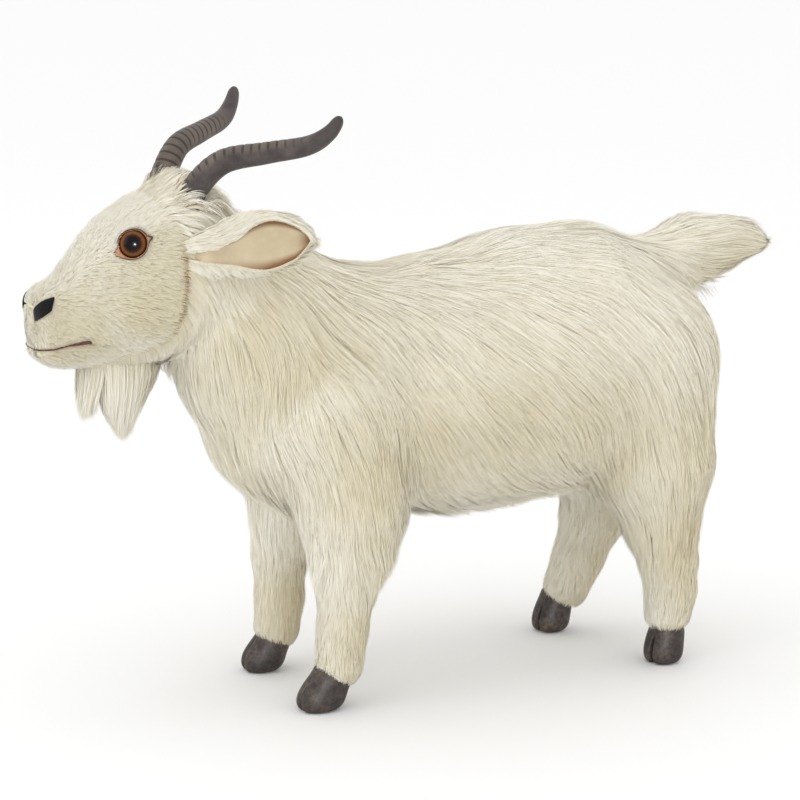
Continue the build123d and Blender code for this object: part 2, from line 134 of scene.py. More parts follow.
ALMOND = [(28.8, -214.1, 296.2), (28.9, -210.9, 300.2), (30.6, -209.2, 303.8), (33.0, -207.2, 306.6), (35.6, -203.9, 307.6), (37.1, -199.2, 307.2), (37.6, -195.6, 307.2), (37.4, -193.0, 305.8), (37.0, -194.8, 303.3), (37.2, -197.5, 298.1), (36.5, -201.8, 294.1), (34.7, -205.6, 293.2), (31.8, -210.2, 293.9)]


def head_sdf(p):
    x, y, z = np.abs(p[..., 0]), p[..., 1], p[..., 2]
    yc = np.clip(y, HEAD_Y[0], HEAD_Y[-1])
    t, b, w = np.interp(yc, HEAD_Y, HEAD_T), np.interp(yc, HEAD_Y, HEAD_B), np.interp(yc, HEAD_Y, HEAD_W)
    zc, hh = (t + b) / 2, (t - b) / 2
    e = 2.3
    f = ((x / w) ** e + (np.abs(z - zc) / hh) ** e) ** (1 / e) - 1
    d = f * np.minimum(w, hh) * 0.9
    over = np.abs(y - yc)
    d = np.where(over > 0, np.sqrt(np.maximum(d, 0) ** 2 + over ** 2), d)
    q = p.copy()
    q[..., 0] = x
    d = smin(d, ellipsoid(q, (26, -196, 302.5), (8, 12, 6.5)), 7)           # brow
    d = smin(d, ellipsoid(q, (27, -196, 262), (16, 24, 17)), 9)          # cheek
    d = smin(d, ellipsoid(q, (9, -247, 262), (10.5, 10, 11)), 5)         # nostril swelling
    d = smin(d, ellipsoid(q, (8, -243, 236), (10, 14, 8)), 5)            # lip
    d = -smin(-d, cone(q, (34, -226, 290), (27, -236, 272), 7, 4), 6)    # hollow in front of the eye
    m = None
    for a, b in zip(MOUTH[:-1], MOUTH[1:]):
        c = cone(q, a, b, 1.0, 1.0)
        m = c if m is None else np.minimum(m, c)
    d = -smin(-d, m, 1.6)                                                # the lips meet in a crease
    return d


def body_sdf(p):
    d = chain(p, TRUNK, 12, 0.95)
    d = smin(d, chain(p, NECK, 10, 0.93), 16)
    d = smin(d, ellipsoid(p, (0, -94, 186), (42, 43, 46)), 16)
    d = smin(d, ellipsoid(p, (0, -132, 216), (27, 26, 26)), 14)
    d = smin(d, ellipsoid(p, (0, 26, 148), (44, 74, 26)), 14)
    for c in LEG_CHAINS.values():
        d = smin(d, chain(p, c, 5), 13)
    d = smin(d, chain(p, TAIL, 6), 9)
    return d


class Field:
    def __init__(self, fn, lo, hi, h):
        self.lo, self.h = np.array(lo, float), h
        ax = [np.arange(l, u + h, h) for l, u in zip(lo, hi)]
        self.shape = tuple(len(a) for a in ax)
        D = np.empty(self.shape, np.float32)
        for i, x in enumerate(ax[0]):
            g = np.empty((len(ax[1]), len(ax[2]), 3))
            g[..., 0] = x
            g[..., 1] = ax[1][:, None]
            g[..., 2] = ax[2][None, :]
            D[i] = fn(g)
        self.D = D
        self.G = [g.astype(np.float32) for g in np.gradient(D, h)]

    def _tri(self, A, p):
        q = (p - self.lo) / self.h
        i = np.clip(np.floor(q).astype(int), 0, np.array(self.shape) - 2)
        f = np.clip(q - i, 0, 1)
        out = 0
        for a in (0, 1):
            for b in (0, 1):
                for c in (0, 1):
                    w = (f[:, 0] if a else 1 - f[:, 0]) * (f[:, 1] if b else 1 - f[:, 1]) * (f[:, 2] if c else 1 - f[:, 2])
                    out = out + w * A[i[:, 0] + a, i[:, 1] + b, i[:, 2] + c]
        return out

    def dist(self, p):
        return self._tri(self.D, p)

    def normal(self, p):
        return unit(np.stack([self._tri(g, p) for g in self.G], -1))


def surface_nets(F):
    D, h = F.D, F.h
    ins = D < 0
    nx, ny, nz = D.shape
    cnt = np.zeros((nx - 1, ny - 1, nz - 1), int)
    for i in (0, 1):
        for j in (0, 1):
            for k in (0, 1):
                cnt += ins[i:nx - 1 + i, j:ny - 1 + j, k:nz - 1 + k]
    act = (cnt > 0) & (cnt < 8)
    cells = np.argwhere(act)
    idx = -np.ones(act.shape, int)
    idx[act] = np.arange(len(cells))
    acc, num = np.zeros((len(cells), 3)), np.zeros(len(cells))
    for ax in range(3):
        u = np.eye(3, dtype=int)[ax]
        o1, o2 = [a for a in range(3) if a != ax]
        for a in (0, 1):
            for b in (0, 1):
                off = np.zeros(3, int)
                off[o1], off[o2] = a, b
                p0, p1 = cells + off, cells + off + u
                d0, d1 = D[tuple(p0.T)], D[tuple(p1.T)]
                cr = (d0 < 0) != (d1 < 0)
                t = d0[cr] / (d0[cr] - d1[cr])
                acc[cr] += off + t[:, None] * u
                num[cr] += 1
    verts = (cells + acc / num[:, None]) * h + F.lo
    quads = []
    for ax in range(3):
        u = np.eye(3, dtype=int)[ax]
        sl0 = [slice(None)] * 3
        sl1 = [slice(None)] * 3
        sl0[ax], sl1[ax] = slice(0, -1), slice(1, None)
        a, b = ins[tuple(sl0)], ins[tuple(sl1)]
        e = np.argwhere(a != b)
        o1, o2 = (ax + 1) % 3, (ax + 2) % 3
        e = e[(e[:, o1] > 0) & (e[:, o2] > 0) & (e[:, o1] < D.shape[o1] - 1) & (e[:, o2] < D.shape[o2] - 1)]
        u1, u2 = np.eye(3, dtype=int)[o1], np.eye(3, dtype=int)[o2]
        q = np.stack([idx[tuple((e - u1 - u2).T)], idx[tuple((e - u2).T)], idx[tuple(e.T)], idx[tuple((e - u1).T)]], 1)
        flip = ~a[tuple(e.T)]
        q[flip] = q[flip][:, ::-1]
        quads.append(q)
    return verts, np.concatenate(quads)


# ------------------------------------------------------------------ materials
def new_mat(name):
    m = bpy.data.materials.new(name)
    m.use_nodes = True
    nt = m.node_tree
    bsdf = nt.nodes["Principled BSDF"]
    return m, nt, bsdf


def ramp_node(nt, stops, fac=None):
    r = nt.nodes.new("ShaderNodeValToRGB")
    while len(r.color_ramp.elements) > 1:
        r.color_ramp.elements.remove(r.color_ramp.elements[-1])
    for i, (pos, col) in enumerate(stops):
        e = r.color_ramp.elements[0] if i == 0 else r.color_ramp.elements.new(pos)
        e.position = pos
        e.color = (*lin(col), 1)
    if fac is not None:
        nt.links.new(fac, r.inputs["Fac"])
    return r


def mix_rgb(nt, fac, a, b, mode="MIX"):
    m = nt.nodes.new("ShaderNodeMix")
    m.data_type = "RGBA"
    m.blend_type = mode
    for s, v in ((0, fac), (6, a), (7, b)):
        if hasattr(v, "links"):
            nt.links.new(v, m.inputs[s])
        else:
            m.inputs[s].default_value = v
    return m.outputs[2]


def fur_material(name, tips, roots, rough=0.72, sheen=0.25):
    """Colour comes from the strand's own palette coordinates: U is the tint, V runs from root to tip; roots are darker
    than tips, partly the airbrushed tan undercoat and partly painted shade deep in the pile.
    """
    m, nt, b = new_mat(name)
    uv = nt.nodes.new("ShaderNodeUVMap")
    uv.uv_map = "OFBake"
    sep = nt.nodes.new("ShaderNodeSeparateXYZ")
    nt.links.new(uv.outputs["UV"], sep.inputs[0])
    t = ramp_node(nt, tips, sep.outputs["X"])
    r = ramp_node(nt, roots, sep.outputs["X"])
    v = nt.nodes.new("ShaderNodeMapRange")
    v.interpolation_type = "SMOOTHSTEP"
    nt.links.new(sep.outputs["Y"], v.inputs["Value"])
    v.inputs["From Min"].default_value = 0.05
    v.inputs["From Max"].default_value = 0.75
    nt.links.new(mix_rgb(nt, v.outputs["Result"], r.outputs["Color"], t.outputs["Color"]), b.inputs["Base Color"])
    b.inputs["Roughness"].default_value = rough
    b.inputs["Specular IOR Level"].default_value = 0.25
    b.inputs["Sheen Weight"].default_value = sheen
    b.inputs["Sheen Roughness"].default_value = 0.5
    return m


# Root colours are darker than tip colours in both palettes: partly the airbrushed tan undercoat, partly painted shade
# deep in the pile.
FUR = fur_material(
    "long_pile_fur",
    [(0.0, (104, 70, 42)), (0.25, (204, 172, 130)), (0.5, (228, 219, 190)), (0.75, (239, 233, 214)), (1.0, (250, 248, 239))],
    [(0.0, (78, 52, 34)), (0.25, (190, 158, 118)), (0.5, (218, 208, 176)), (0.75, (232, 224, 199)), (1.0, (242, 237, 219))],
)
PLUSH = fur_material(
    "short_pile_plush",
    [(0.0, (104, 70, 42)), (0.25, (198, 166, 124)), (0.5, (226, 218, 188)), (0.75, (238, 233, 215)), (1.0, (250, 248, 240))],
    [(0.0, (78, 52, 34)), (0.25, (186, 154, 114)), (0.5, (217, 208, 176)), (0.75, (232, 225, 201)), (1.0, (242, 238, 222))],
    rough=0.8, sheen=0.4,
)
SKIN_MAT, _nt, _b = new_mat("knitted_backing")
_tc = _nt.nodes.new("ShaderNodeTexCoord")
_w = _nt.nodes.new("ShaderNodeTexNoise")
_w.inputs["Scale"].default_value = 220
_w.inputs["Detail"].default_value = 4
_nt.links.new(_tc.outputs["Object"], _w.inputs["Vector"])
_r = ramp_node(_nt, [(0.3, (214, 203, 178)), (0.7, (230, 222, 200))], _w.outputs["Fac"])
_nt.links.new(_r.outputs["Color"], _b.inputs["Base Color"])
_b.inputs["Roughness"].default_value = 0.9


# ------------------------------------------------------------------ mesh builders
def mesh_object(name, verts, faces, mat=None, smooth=True, scale=MM):
    me = bpy.data.meshes.new(name)
    me.from_pydata((np.asarray(verts) * scale).tolist(), [], [list(map(int, f)) for f in faces])
    me.update()
    if smooth:
        me.shade_smooth()
    o = bpy.data.objects.new(name, me)
    scene.collection.objects.link(o)
    if mat:
        me.materials.append(mat)
    return o


def strand_object(name, P, W, U, N, mat, twist=0.18, profile=None):
    """P (n, k, 3) points in mm, W (n,) width, U (n,) tint, N (n, k, 3) outward direction at each point."""
    n, k, _ = P.shape
    T = np.empty_like(P)
    T[:, 1:-1] = P[:, 2:] - P[:, :-2]
    T[:, 0] = P[:, 1] - P[:, 0]
    T[:, -1] = P[:, -1] - P[:, -2]
    T = unit(T)
    S = unit(np.cross(T, N))
    B = unit(np.cross(S, T))
    a = rng.normal(0, twist, n)[:, None, None]
    S = S * np.cos(a) + B * np.sin(a)
    if profile is None:
        s = np.linspace(0, 1, k)
        profile = 0.75 + 0.35 * np.sin(np.pi * np.minimum(s * 1.15, 1)) - 0.45 * s ** 2
    half = 0.5 * W[:, None, None] * np.asarray(profile)[None, :, None]
    L, R = P - S * half, P + S * half
    m = 2 * (k - 1) + 1
    V = np.empty((n, m, 3), np.float32)
    V[:, 0:2 * (k - 1):2] = L[:, :-1]
    V[:, 1:2 * (k - 1):2] = R[:, :-1]
    V[:, -1] = P[:, -1]
    V *= MM
    base = (np.arange(n) * m)[:, None]
    q = np.concatenate([np.tile(np.array([2 * j, 2 * j + 1, 2 * j + 3, 2 * j + 2]), (n, 1)) + base for j in range(k - 2)], 1)
    t = np.tile(np.array([2 * (k - 2), 2 * (k - 2) + 1, m - 1]), (n, 1)) + base
    lv = np.concatenate([q, t], 1).ravel().astype(np.int32)
    per = np.array([4] * (k - 2) + [3])
    sizes = np.tile(per, n)
    starts = np.concatenate([[0], np.cumsum(sizes)[:-1]]).astype(np.int32)
    me = bpy.data.meshes.new(name)
    me.vertices.add(n * m)
    me.vertices.foreach_set("co", V.ravel())
    me.loops.add(len(lv))
    me.loops.foreach_set("vertex_index", lv)
    me.polygons.add(len(sizes))
    me.polygons.foreach_set("loop_start", starts)
    me.update(calc_edges=True)
    me.shade_smooth()
    uv = me.uv_layers.new(name="OFBake")
    vv = np.empty((n, m))
    lev = np.linspace(0, 1, k)
    vv[:, 0:2 * (k - 1):2] = lev[:-1]
    vv[:, 1:2 * (k - 1):2] = lev[:-1]
    vv[:, -1] = 1
    uu = np.repeat(U, m).reshape(n, m)
    side = np.zeros(m)
    side[0:2 * (k - 1):2], side[1:2 * (k - 1):2] = -0.0008, 0.0008
    uu = np.clip(uu, 0.01, 0.99) + side[None]
    uvs = np.stack([uu.ravel()[lv], 0.02 + 0.96 * vv.ravel()[lv]], 1).astype(np.float32)
    uv.data.foreach_set("uv", uvs.ravel())
    me.materials.append(mat)
    # shade each strand with the lie of the coat, so that fine pile reads soft
    Nv = np.empty((n, m, 3), np.float32)
    Nv[:, 0:2 * (k - 1):2] = N[:, :-1]
    Nv[:, 1:2 * (k - 1):2] = N[:, :-1]
    Nv[:, -1] = N[:, -1]
    Bv = unit(np.cross(S, T))
    Bm = np.empty((n, m, 3))
    Bm[:, 0:2 * (k - 1):2] = Bv[:, :-1]
    Bm[:, 1:2 * (k - 1):2] = Bv[:, :-1]
    Bm[:, -1] = Bv[:, -1]
    Bm *= np.sign((Bm * Nv).sum(-1, keepdims=True) + 1e-9)
    Nv = unit(0.93 * Nv + 0.07 * Bm)
    me.normals_split_custom_set_from_vertices(Nv.reshape(-1, 3).astype(np.float32))
    o = bpy.data.objects.new(name, me)
    scene.collection.objects.link(o)
    o.visible_shadow = False             # light passes between the hairs
    return o


def sample_surface(verts, quads, density, jitter_rng=rng):
    """Random points on the quads at density per mm2 (array per face or number)."""
    tri = np.concatenate([quads[:, [0, 1, 2]], quads[:, [0, 2, 3]]])
    a, b, c = verts[tri[:, 0]], verts[tri[:, 1]], verts[tri[:, 2]]
    area = np.linalg.norm(np.cross(b - a, c - a), axis=1) / 2
    dens = density((a + b + c) / 3) if callable(density) else density
    want = area * dens
    cum = np.cumsum(want)
    total = int(cum[-1])
    pick = np.searchsorted(cum, jitter_rng.random(total) * cum[-1])
    r1, r2 = np.sqrt(jitter_rng.random(total)), jitter_rng.random(total)
    return a[pick] * (1 - r1)[:, None] + b[pick] * (r1 * (1 - r2))[:, None] + c[pick] * (r1 * r2)[:, None]


# ------------------------------------------------------------------ combing
COMB = [  # (x, y, z), (dx, dy, dz): which way the pile is combed, left side
    ((0, -60, 280), (0, 1, -.10)), ((0, 0, 279), (0, 1, -.02)), ((0, 60, 288), (0, 1, .02)), ((0, 120, 288), (0, 1, -.12)), ((0, 160, 276), (0, 1, -.30)),
    ((48, -40, 262), (.1, .75, -.65)), ((48, 20, 262), (.1, .85, -.5)), ((48, 80, 270), (.1, .88, -.45)), ((46, 130, 262), (.1, .75, -.65)),
    ((68, -60, 215), (0, .55, -.83)), ((68, -10, 210), (0, .72, -.69)), ((70, 45, 212), (0, .82, -.57)), ((68, 95, 215), (0, .75, -.66)), ((64, 140, 220), (0, .45, -.9)),
    ((62, -30, 160), (0, .5, -.86)), ((62, 20, 155), (0, .75, -.66)), ((62, 70, 158), (0, .8, -.6)), ((58, 105, 160), (0, .5, -.87)),
    ((0, -20, 128), (0, .7, -.6)), ((0, 40, 130), (0, .85, -.5)), ((0, 90, 132), (0, .8, -.6)), ((40, 30, 130), (0, .8, -.6)), ((40, 85, 130), (0, .7, -.7)),
    ((62, 150, 180), (0, .28, -.96)), ((58, 120, 140), (0, .05, -1)), ((48, 188, 200), (0, .12, -1)), ((45, 185, 130), (0, -.05, -1)), ((46, 160, 90), (0, .05, -1)), ((0, 190, 230), (0, .2, -1)), ((0, 190, 150), (0, 0, -1)),
    ((42, -150, 285), (.2, .6, -.78)), ((45, -140, 265), (.05, .4, -.92)), ((50, -105, 245), (0, .42, -.9)), ((56, -80, 235), (0, .45, -.9)), ((40, -150, 240), (0, .35, -.94)),
    ((0, -120, 308), (0, .95, -.3)), ((0, -85, 292), (0, .95, -.3)), ((30, -110, 295), (.3, .75, -.6)),
    ((0, -175, 222), (0, .3, -.95)), ((0, -152, 190), (0, .12, -1)), ((0, -140, 155), (0, .15, -1)), ((30, -130, 170), (.1, .15, -1)),
    ((56, -90, 195), (0, .25, -.97)), ((58, -60, 150), (0, .3, -.95)), ((45, -70, 110), (0, .08, -1)), ((46, -75, 60), (0, 0, -1)), ((46, 160, 50), (0, 0, -1)), ((45, 150, 70), (0, 0, -1)), ((45, 135, 35), (0, -.3, -1)),
    ((0, -190, 330), (0, 1, .35)), ((0, -165, 338), (0, 1, 0)), ((0, -140, 330), (0, .9, -.45)), ((25, -178, 330), (.2, 1, .05)), ((32, -150, 325), (.35, .85, -.4)), ((42, -172, 308), (.25, .9, -.25)),
    ((44, -172, 275), (.05, .62, -.78)), ((43, -178, 256), (0, .5, -.87)), ((32, -190, 238), (0, .35, -.94)), ((0, -200, 226), (0, .2, -1)),
    ((0, 185, 284), (0, 1, .22)), ((0, 210, 286), (0, 1, .12)), ((0, 240, 280), (0, 1, -.1)), ((0, 210, 250), (0, 1, .25)), ((12, 205, 268), (.1, 1, .1)), ((0, 188, 246), (0, .25, -.97)),
]
_cp = np.array([c[0] for c in COMB], float)
_cd = unit(np.array([c[1] for c in COMB], float))
_WAVES = rng.normal(0, 1, (10, 3)) * np.array([1 / 26.0] * 5 + [1 / 11.0] * 5)[:, None]
_PHASE = rng.random(10) * 6.28
_AMP = unit(rng.normal(0, 1, (10, 3))) * np.array([0.13] * 5 + [0.07] * 5)[:, None]


def noise_vec(p):
    return np.sin(p @ _WAVES.T + _PHASE) @ _AMP


def comb(p, sigma=24.0):
    q = p.copy()
    s = np.where(q[:, 0] < 0, -1.0, 1.0)
    q[:, 0] = np.abs(q[:, 0])
    out = np.zeros_like(q)
    for a in range(0, len(q), 20000):
        d2 = ((q[a:a + 20000, None] - _cp[None]) ** 2).sum(-1)
        w = np.exp(-d2 / (2 * sigma ** 2)) + 1e-5 / (1 + d2)
        out[a:a + 20000] = (w[..., None] * _cd[None]).sum(1)
    out = unit(out)
    tail = (0.85 * smoothstep(208, 238, q[:, 1]))[:, None]
    out = unit(out * (1 - tail) + unit(np.array((0, 274, 264.0)) - q) * tail)
    out[:, 0] *= s
    return out


def grow(F, roots, L, k, lift, height, grav, comb_fn, wav=1.0, pull=1.0):
    """Lay strands over the form: k points each, hugging the surface at their own height."""
    n = len(roots)
    P = np.zeros((n, k, 3))
    N = np.zeros((n, k, 3))
    nrm = F.normal(roots)
    p = roots - nrm * 0.8
    P[:, 0], N[:, 0] = p, nrm
    layer = rng.random(n) ** 1.3
    for i in range(1, k):
        s = i / (k - 1)
        t = comb_fn(p) + noise_vec(p) * wav
        t = t - nrm * (t * nrm).sum(1, keepdims=True)
        t = unit(t)
        d = unit(t + nrm * (lift * (1 - s) ** 2)[:, None] + np.array([0, 0, -1.0]) * (grav * s)[:, None])
        p = p + d * (L / (k - 1))[:, None]
        nrm = F.normal(p)
        dist = F.dist(p)
        want = 1.0 + height * s ** 0.55 * (0.25 + 0.75 * layer)
        p = p + nrm * np.clip(want - dist, 0, 7)[:, None] * 0.8
        hang = np.clip(dist - want, 0, 6) * (1 - np.clip(grav * 2.2, 0, 1)) * 0.45
        p = p - nrm * (hang * pull)[:, None]
        P[:, i], N[:, i] = p, nrm
    return P, N


def clump(P, N, centres, strength, power=1.4):
    """Gather strands towards the nearest of the guide strands, more towards the tips."""
    kd = kdtree.KDTree(len(centres))
    G = P[centres]
    for i, g in enumerate(G[:, 0]):
        kd.insert(g, i)
    kd.balance()
    near = np.array([kd.find(r)[1] for r in P[:, 0]])
    st = strength * (0.55 + 0.45 * rng.random(len(centres)))[near]
    k = P.shape[1]
    s = np.linspace(0, 1, k)[None, :, None] ** power
    g = G[near]
    c = st[:, None, None] * s
    return P * (1 - c) + g * c


# ------------------------------------------------------------------ camera, floor, light
def camera():
    A, e, D, f = math.radians(65.4), math.radians(12.4), 1.9551, 1955.1 / 0.64
    T = Vector((0, -0.0132, 0.1828))
    back = Vector((math.sin(A) * math.cos(e), -math.cos(A) * math.cos(e), math.sin(e)))
    cd = bpy.data.cameras.new("camera")
    cd.sensor_width = 36
    cd.lens = 36 * f / 800
    cd.clip_end = 50
    co = bpy.data.objects.new("camera", cd)
    co.location = T + back * D
    co.rotation_euler = back.to_track_quat("Z", "Y").to_euler()
    scene.collection.objects.link(co)
    scene.camera = co


camera()
fm, fnt, fb = new_mat("floor_paper")
fb.inputs["Base Color"].default_value = (0.93, 0.93, 0.93, 1)
fb.inputs["Roughness"].default_value = 0.9
floor = mesh_object("floor", [(-6, -6, 0), (6, -6, 0), (6, 6, 0), (-6, 6, 0)], [(0, 1, 2, 3)], fm, False, 1.0)
world = bpy.data.worlds.new("studio")
scene.world = world
world.use_nodes = True
world.node_tree.nodes["Background"].inputs["Color"].default_value = (1, 1, 1, 1)
world.node_tree.nodes["Background"].inputs["Strength"].default_value = 1.04


def area(name, loc, aim, size, power, col=(1, 1, 1)):
    l = bpy.data.lights.new(name, "AREA")
    l.shape = "RECTANGLE"
    l.size, l.size_y = size
    l.energy = power
    l.color = col
    o = bpy.data.objects.new(name, l)
    o.location = loc
    o.rotation_euler = (Vector(loc) - Vector(aim)).to_track_quat("Z", "Y").to_euler()
    scene.collection.objects.link(o)
    return o


area("side", (0.3, -2.0, 1.1), (0, 0, 0.2), (1.2, 1.2), 4)
area("top", (0.1, 0.1, 1.9), (0, 0, 0.2), (1.6, 1.6), 2.6)
area("front", (1.905, -0.885, 0.643), (0, -0.013, 0.183), (0.2, 0.2), 1.6).data.shape = "DISK"
glint = area("glint", (1.99, -0.924, 0.664), (0, -0.013, 0.183), (0.36, 0.36), 44)     # a softbox that only shines back off glossy things
glint.data.shape = "DISK"
glint.visible_diffuse = False

# ------------------------------------------------------------------ skins
BODY = Field(body_sdf, (-96, -190, -6), (96, 262, 330), 3.0)
HEAD = Field(head_sdf, (-60, -272, 206), (60, -112, 350), 1.3)


class Union:
    """Distance to body and head together, for laying the pile."""

    def _w(self, p):
        return BODY.dist(p), np.where(np.all((p > HEAD.lo) & (p < HEAD.lo + (np.array(HEAD.shape) - 1) * HEAD.h), axis=1), HEAD.dist(p), 99.0)

    def dist(self, p):
        a, b = self._w(p)
        return np.minimum(a, b)

    def normal(self, p):
        a, b = self._w(p)
        w = smoothstep(-4, 4, a - b)[:, None]
        return unit(BODY.normal(p) * (1 - w) + HEAD.normal(p) * w)


WHOLE = Union()
bv, bq = surface_nets(BODY)
hv, hq = surface_nets(HEAD)


def relax(v, q, it=2):
    n = len(v)
    for _ in range(it):
        acc = np.zeros_like(v)
        num = np.zeros(n)
        for a, b in ((0, 1), (1, 2), (2, 3), (3, 0)):
            np.add.at(acc, q[:, a], v[q[:, b]])
            np.add.at(acc, q[:, b], v[q[:, a]])
            np.add.at(num, q[:, a], 1)
            np.add.at(num, q[:, b], 1)
        v = v * 0.5 + acc / num[:, None] * 0.5
    return v


bv, hv = relax(bv, bq), relax(hv, hq)

# ------------------------------------------------------------------ which region of the body each patch lies in
LEG_PIVOT = {"left_front": (46, -76, 163), "right_front": (-46, -76, 163), "left_hind": (47, 148, 168), "right_hind": (-47, 148, 168)}
NECK_A, NECK_B = np.array((0, -92, 218.0)), np.array((0, -150, 268.0))
TAIL_A, TAIL_B = np.array((0, 168, 262.0)), np.array((0, 192, 268.0))


def region(p):
    """0 trunk, 1 neck, 2 tail, 3.. the legs."""
    r = np.zeros(len(p), int)
    d = NECK_B - NECK_A
    t = ((p - NECK_A) @ d) / (d @ d)
    r[(t > -0.02) & (p[:, 2] > 165)] = 1
    dt = TAIL_B - TAIL_A
    tt = ((p - TAIL_A) @ dt) / (dt @ dt)
    r[(tt > 0.0) & (np.abs(p[:, 0]) < 22) & (p[:, 2] > 240)] = 2
    trunk = np.minimum(chain(p, TRUNK, 12, 0.95), ellipsoid(p, (0, -96, 182), (42, 49, 50)))
    for i, (k, c) in enumerate(LEG_CHAINS.items()):
        dl = chain(p, c, 5)
        s = np.sign(c[0][0][0])
        front = c[0][0][1] < 0
        own = (dl < trunk + 1.5) & (p[:, 0] * s > 2) & ((p[:, 1] < 30) == front) & (p[:, 2] < LEG_PIVOT[k][2] - 4)
        r[own] = 3 + i
    return r


cent = bv[bq].mean(1)
reg = region(cent)


def bind(o, r):
    """Piece o rides the trunk if r is the trunk's region; otherwise its transform is baked into its mesh."""
    if r == 0:
        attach(o, "trunk")
    elif r == 1:
        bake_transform(o)
    elif r == 2:
        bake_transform(o)
    else:
        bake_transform(o)


REPL = {
    0: ("trunk_cover", "trunk_stuffing"),
    1: (),
    2: ("tail_cover", "tail_stuffing"),
    3: ("left_front_upper_leg_cover", "left_front_lower_leg_cover", "left_front_leg_stuffing"),
    4: ("right_front_upper_leg_cover", "right_front_lower_leg_cover", "right_front_leg_stuffing"),
    5: ("left_hind_thigh_cover", "left_hind_lower_leg_cover", "left_hind_leg_stuffing"),
    6: ("right_hind_thigh_cover", "right_hind_lower_leg_cover", "right_hind_leg_stuffing"),
}
NAMES = {0: "trunk", 1: "neck", 2: "tail", 3: "left_front_leg", 4: "right_front_leg", 5: "left_hind_leg", 6: "right_hind_leg"}
for r in range(7):
    m = reg == r
    q = bq[m]
    used, inv = np.unique(q, return_inverse=True)
    o = mesh_object(NAMES[r] + "_skin", bv[used], inv.reshape(q.shape), SKIN_MAT)
    if REPL[r]:
        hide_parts(*REPL[r])
    bind(o, r)
head_skin = mesh_object("head_skin", hv, hq, SKIN_MAT)
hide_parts("head_cover", "head_stuffing")
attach(head_skin, "head")

# ------------------------------------------------------------------ solid pieces
def grid_faces(a, b, wrap):
    faces, uvs = [], []
    nb = b if wrap else b - 1
    for i in range(a - 1):
        for j in range(nb):
            k = (j + 1) % b
            faces.append((i * b + j, i * b + k, (i + 1) * b + k, (i + 1) * b + j))
            u0, u1, v0, v1 = j / nb, (j + 1) / nb, i / (a - 1), (i + 1) / (a - 1)
            uvs.append(((u0, v0), (u1, v0), (u1, v1), (u0, v1)))
    return faces, uvs


def grid_mesh(name, G, mat, wrap=False, caps=(False, False), uv=True, flip=False, close=False):
    """Mesh from a grid of points (along, around); uv lays it out as one sheet."""
    G = np.asarray(G, float)
    a, b, _ = G.shape
    verts = G.reshape(-1, 3).tolist()
    faces, uvs = grid_faces(a, b, wrap)
    for end, row in ((0, 0), (1, a - 1)):
        if caps[end]:
            c = len(verts)
            verts.append(G[row].mean(0).tolist())
            for j in range(b if wrap else b - 1):
                k = (j + 1) % b
                f = (row * b + j, row * b + k, c) if end else (row * b + k, row * b + j, c)
                faces.append(f)
                v = 0.999 if end else 0.001
                uvs.append(((j / b, v), ((j + 1) / b, v), ((j + 0.5) / b, v)))
    o = mesh_object(name, verts, faces, mat)
    me = o.data
    if uv:
        lay = me.uv_layers.new(name="OFBake")
        flat = [c for f in uvs for c in f]
        lay.data.foreach_set("uv", np.clip(np.array(flat, np.float32), 0.001, 0.999).ravel())
    if close or flip:
        bm = bmesh.new()
        bm.from_mesh(me)
        if close:
            bmesh.ops.recalc_face_normals(bm, faces=bm.faces)
        if flip:
            bmesh.ops.reverse_faces(bm, faces=bm.faces)
        bm.to_mesh(me)
        bm.free()
    return o


def curve_pts(pts, n, closed=False):
    """Centripetal-like Catmull-Rom through pts, resampled to n points at even spacing."""
    pts = np.asarray(pts, float)
    if closed:
        c = np.concatenate([pts[-1:], pts, pts[:2]])
        segs = len(pts)
    else:
        c = np.concatenate([2 * pts[:1] - pts[1:2], pts, 2 * pts[-1:] - pts[-2:-1]])
        segs = len(pts) - 1
    out = []
    for i in range(segs):
        p0, p1, p2, p3 = c[i:i + 4]
        t = np.linspace(0, 1, 16, endpoint=False)[:, None]
        out.append(0.5 * (2 * p1 + (p2 - p0) * t + (2 * p0 - 5 * p1 + 4 * p2 - p3) * t ** 2 + (3 * p1 - p0 - 3 * p2 + p3) * t ** 3))
    out = np.concatenate(out + [c[1:2] if closed else c[-2:-1]])
    seg = np.linalg.norm(np.diff(out, axis=0), axis=1)
    s = np.concatenate([[0], np.cumsum(seg)])
    u = np.linspace(0, s[-1], n + 1)[:-1] if closed else np.linspace(0, s[-1], n)
    return np.stack([np.interp(u, s, out[:, k]) for k in range(out.shape[1])], 1)


def tube(path, r, around=8, up=(0, 0, 1), closed=False):
    """Grid of rings of radius r (number or array) along a path."""
    path = np.asarray(path, float)
    r = np.broadcast_to(np.asarray(r, float), (len(path),))
    if closed:
        T = unit(np.roll(path, -1, 0) - np.roll(path, 1, 0))
    else:
        T = unit(np.gradient(path, axis=0))
    S = unit(np.cross(T, np.asarray(up, float)))
    B = unit(np.cross(S, T))
    a = np.linspace(0, 2 * np.pi, around, endpoint=False)
    return path[:, None] + r[:, None, None] * (np.cos(a)[None, :, None] * S[:, None] + np.sin(a)[None, :, None] * B[:, None])


def on_head(p, h):
    """Nearest place to p that stands h mm off the head's fabric."""
    p = np.asarray(p, float).copy()
    for _ in range(5):
        p = p - HEAD.normal(p) * (HEAD.dist(p) - h)[:, None]
    return p


def inside(poly, pts):
    """Points (n,2) inside a closed outline (m,2)."""
    x, y = pts[:, 0], pts[:, 1]
    ok = np.zeros(len(pts), bool)
    j = len(poly) - 1
    for i in range(len(poly)):
        xi, yi, xj, yj = *poly[i], *poly[j]
        c = ((yi > y) != (yj > y)) & (x < (xj - xi) * (y - yi) / (yj - yi + 1e-12) + xi)
        ok ^= c
        j = i
    return ok


def frame_of(n, up):
    n = unit(np.asarray(n, float))
    a = unit(np.cross(np.asarray(up, float), n))
    return a, unit(np.cross(n, a)), n


def mirror(a, s):
    a = np.array(a, float)
    a[..., 0] *= s
    return a


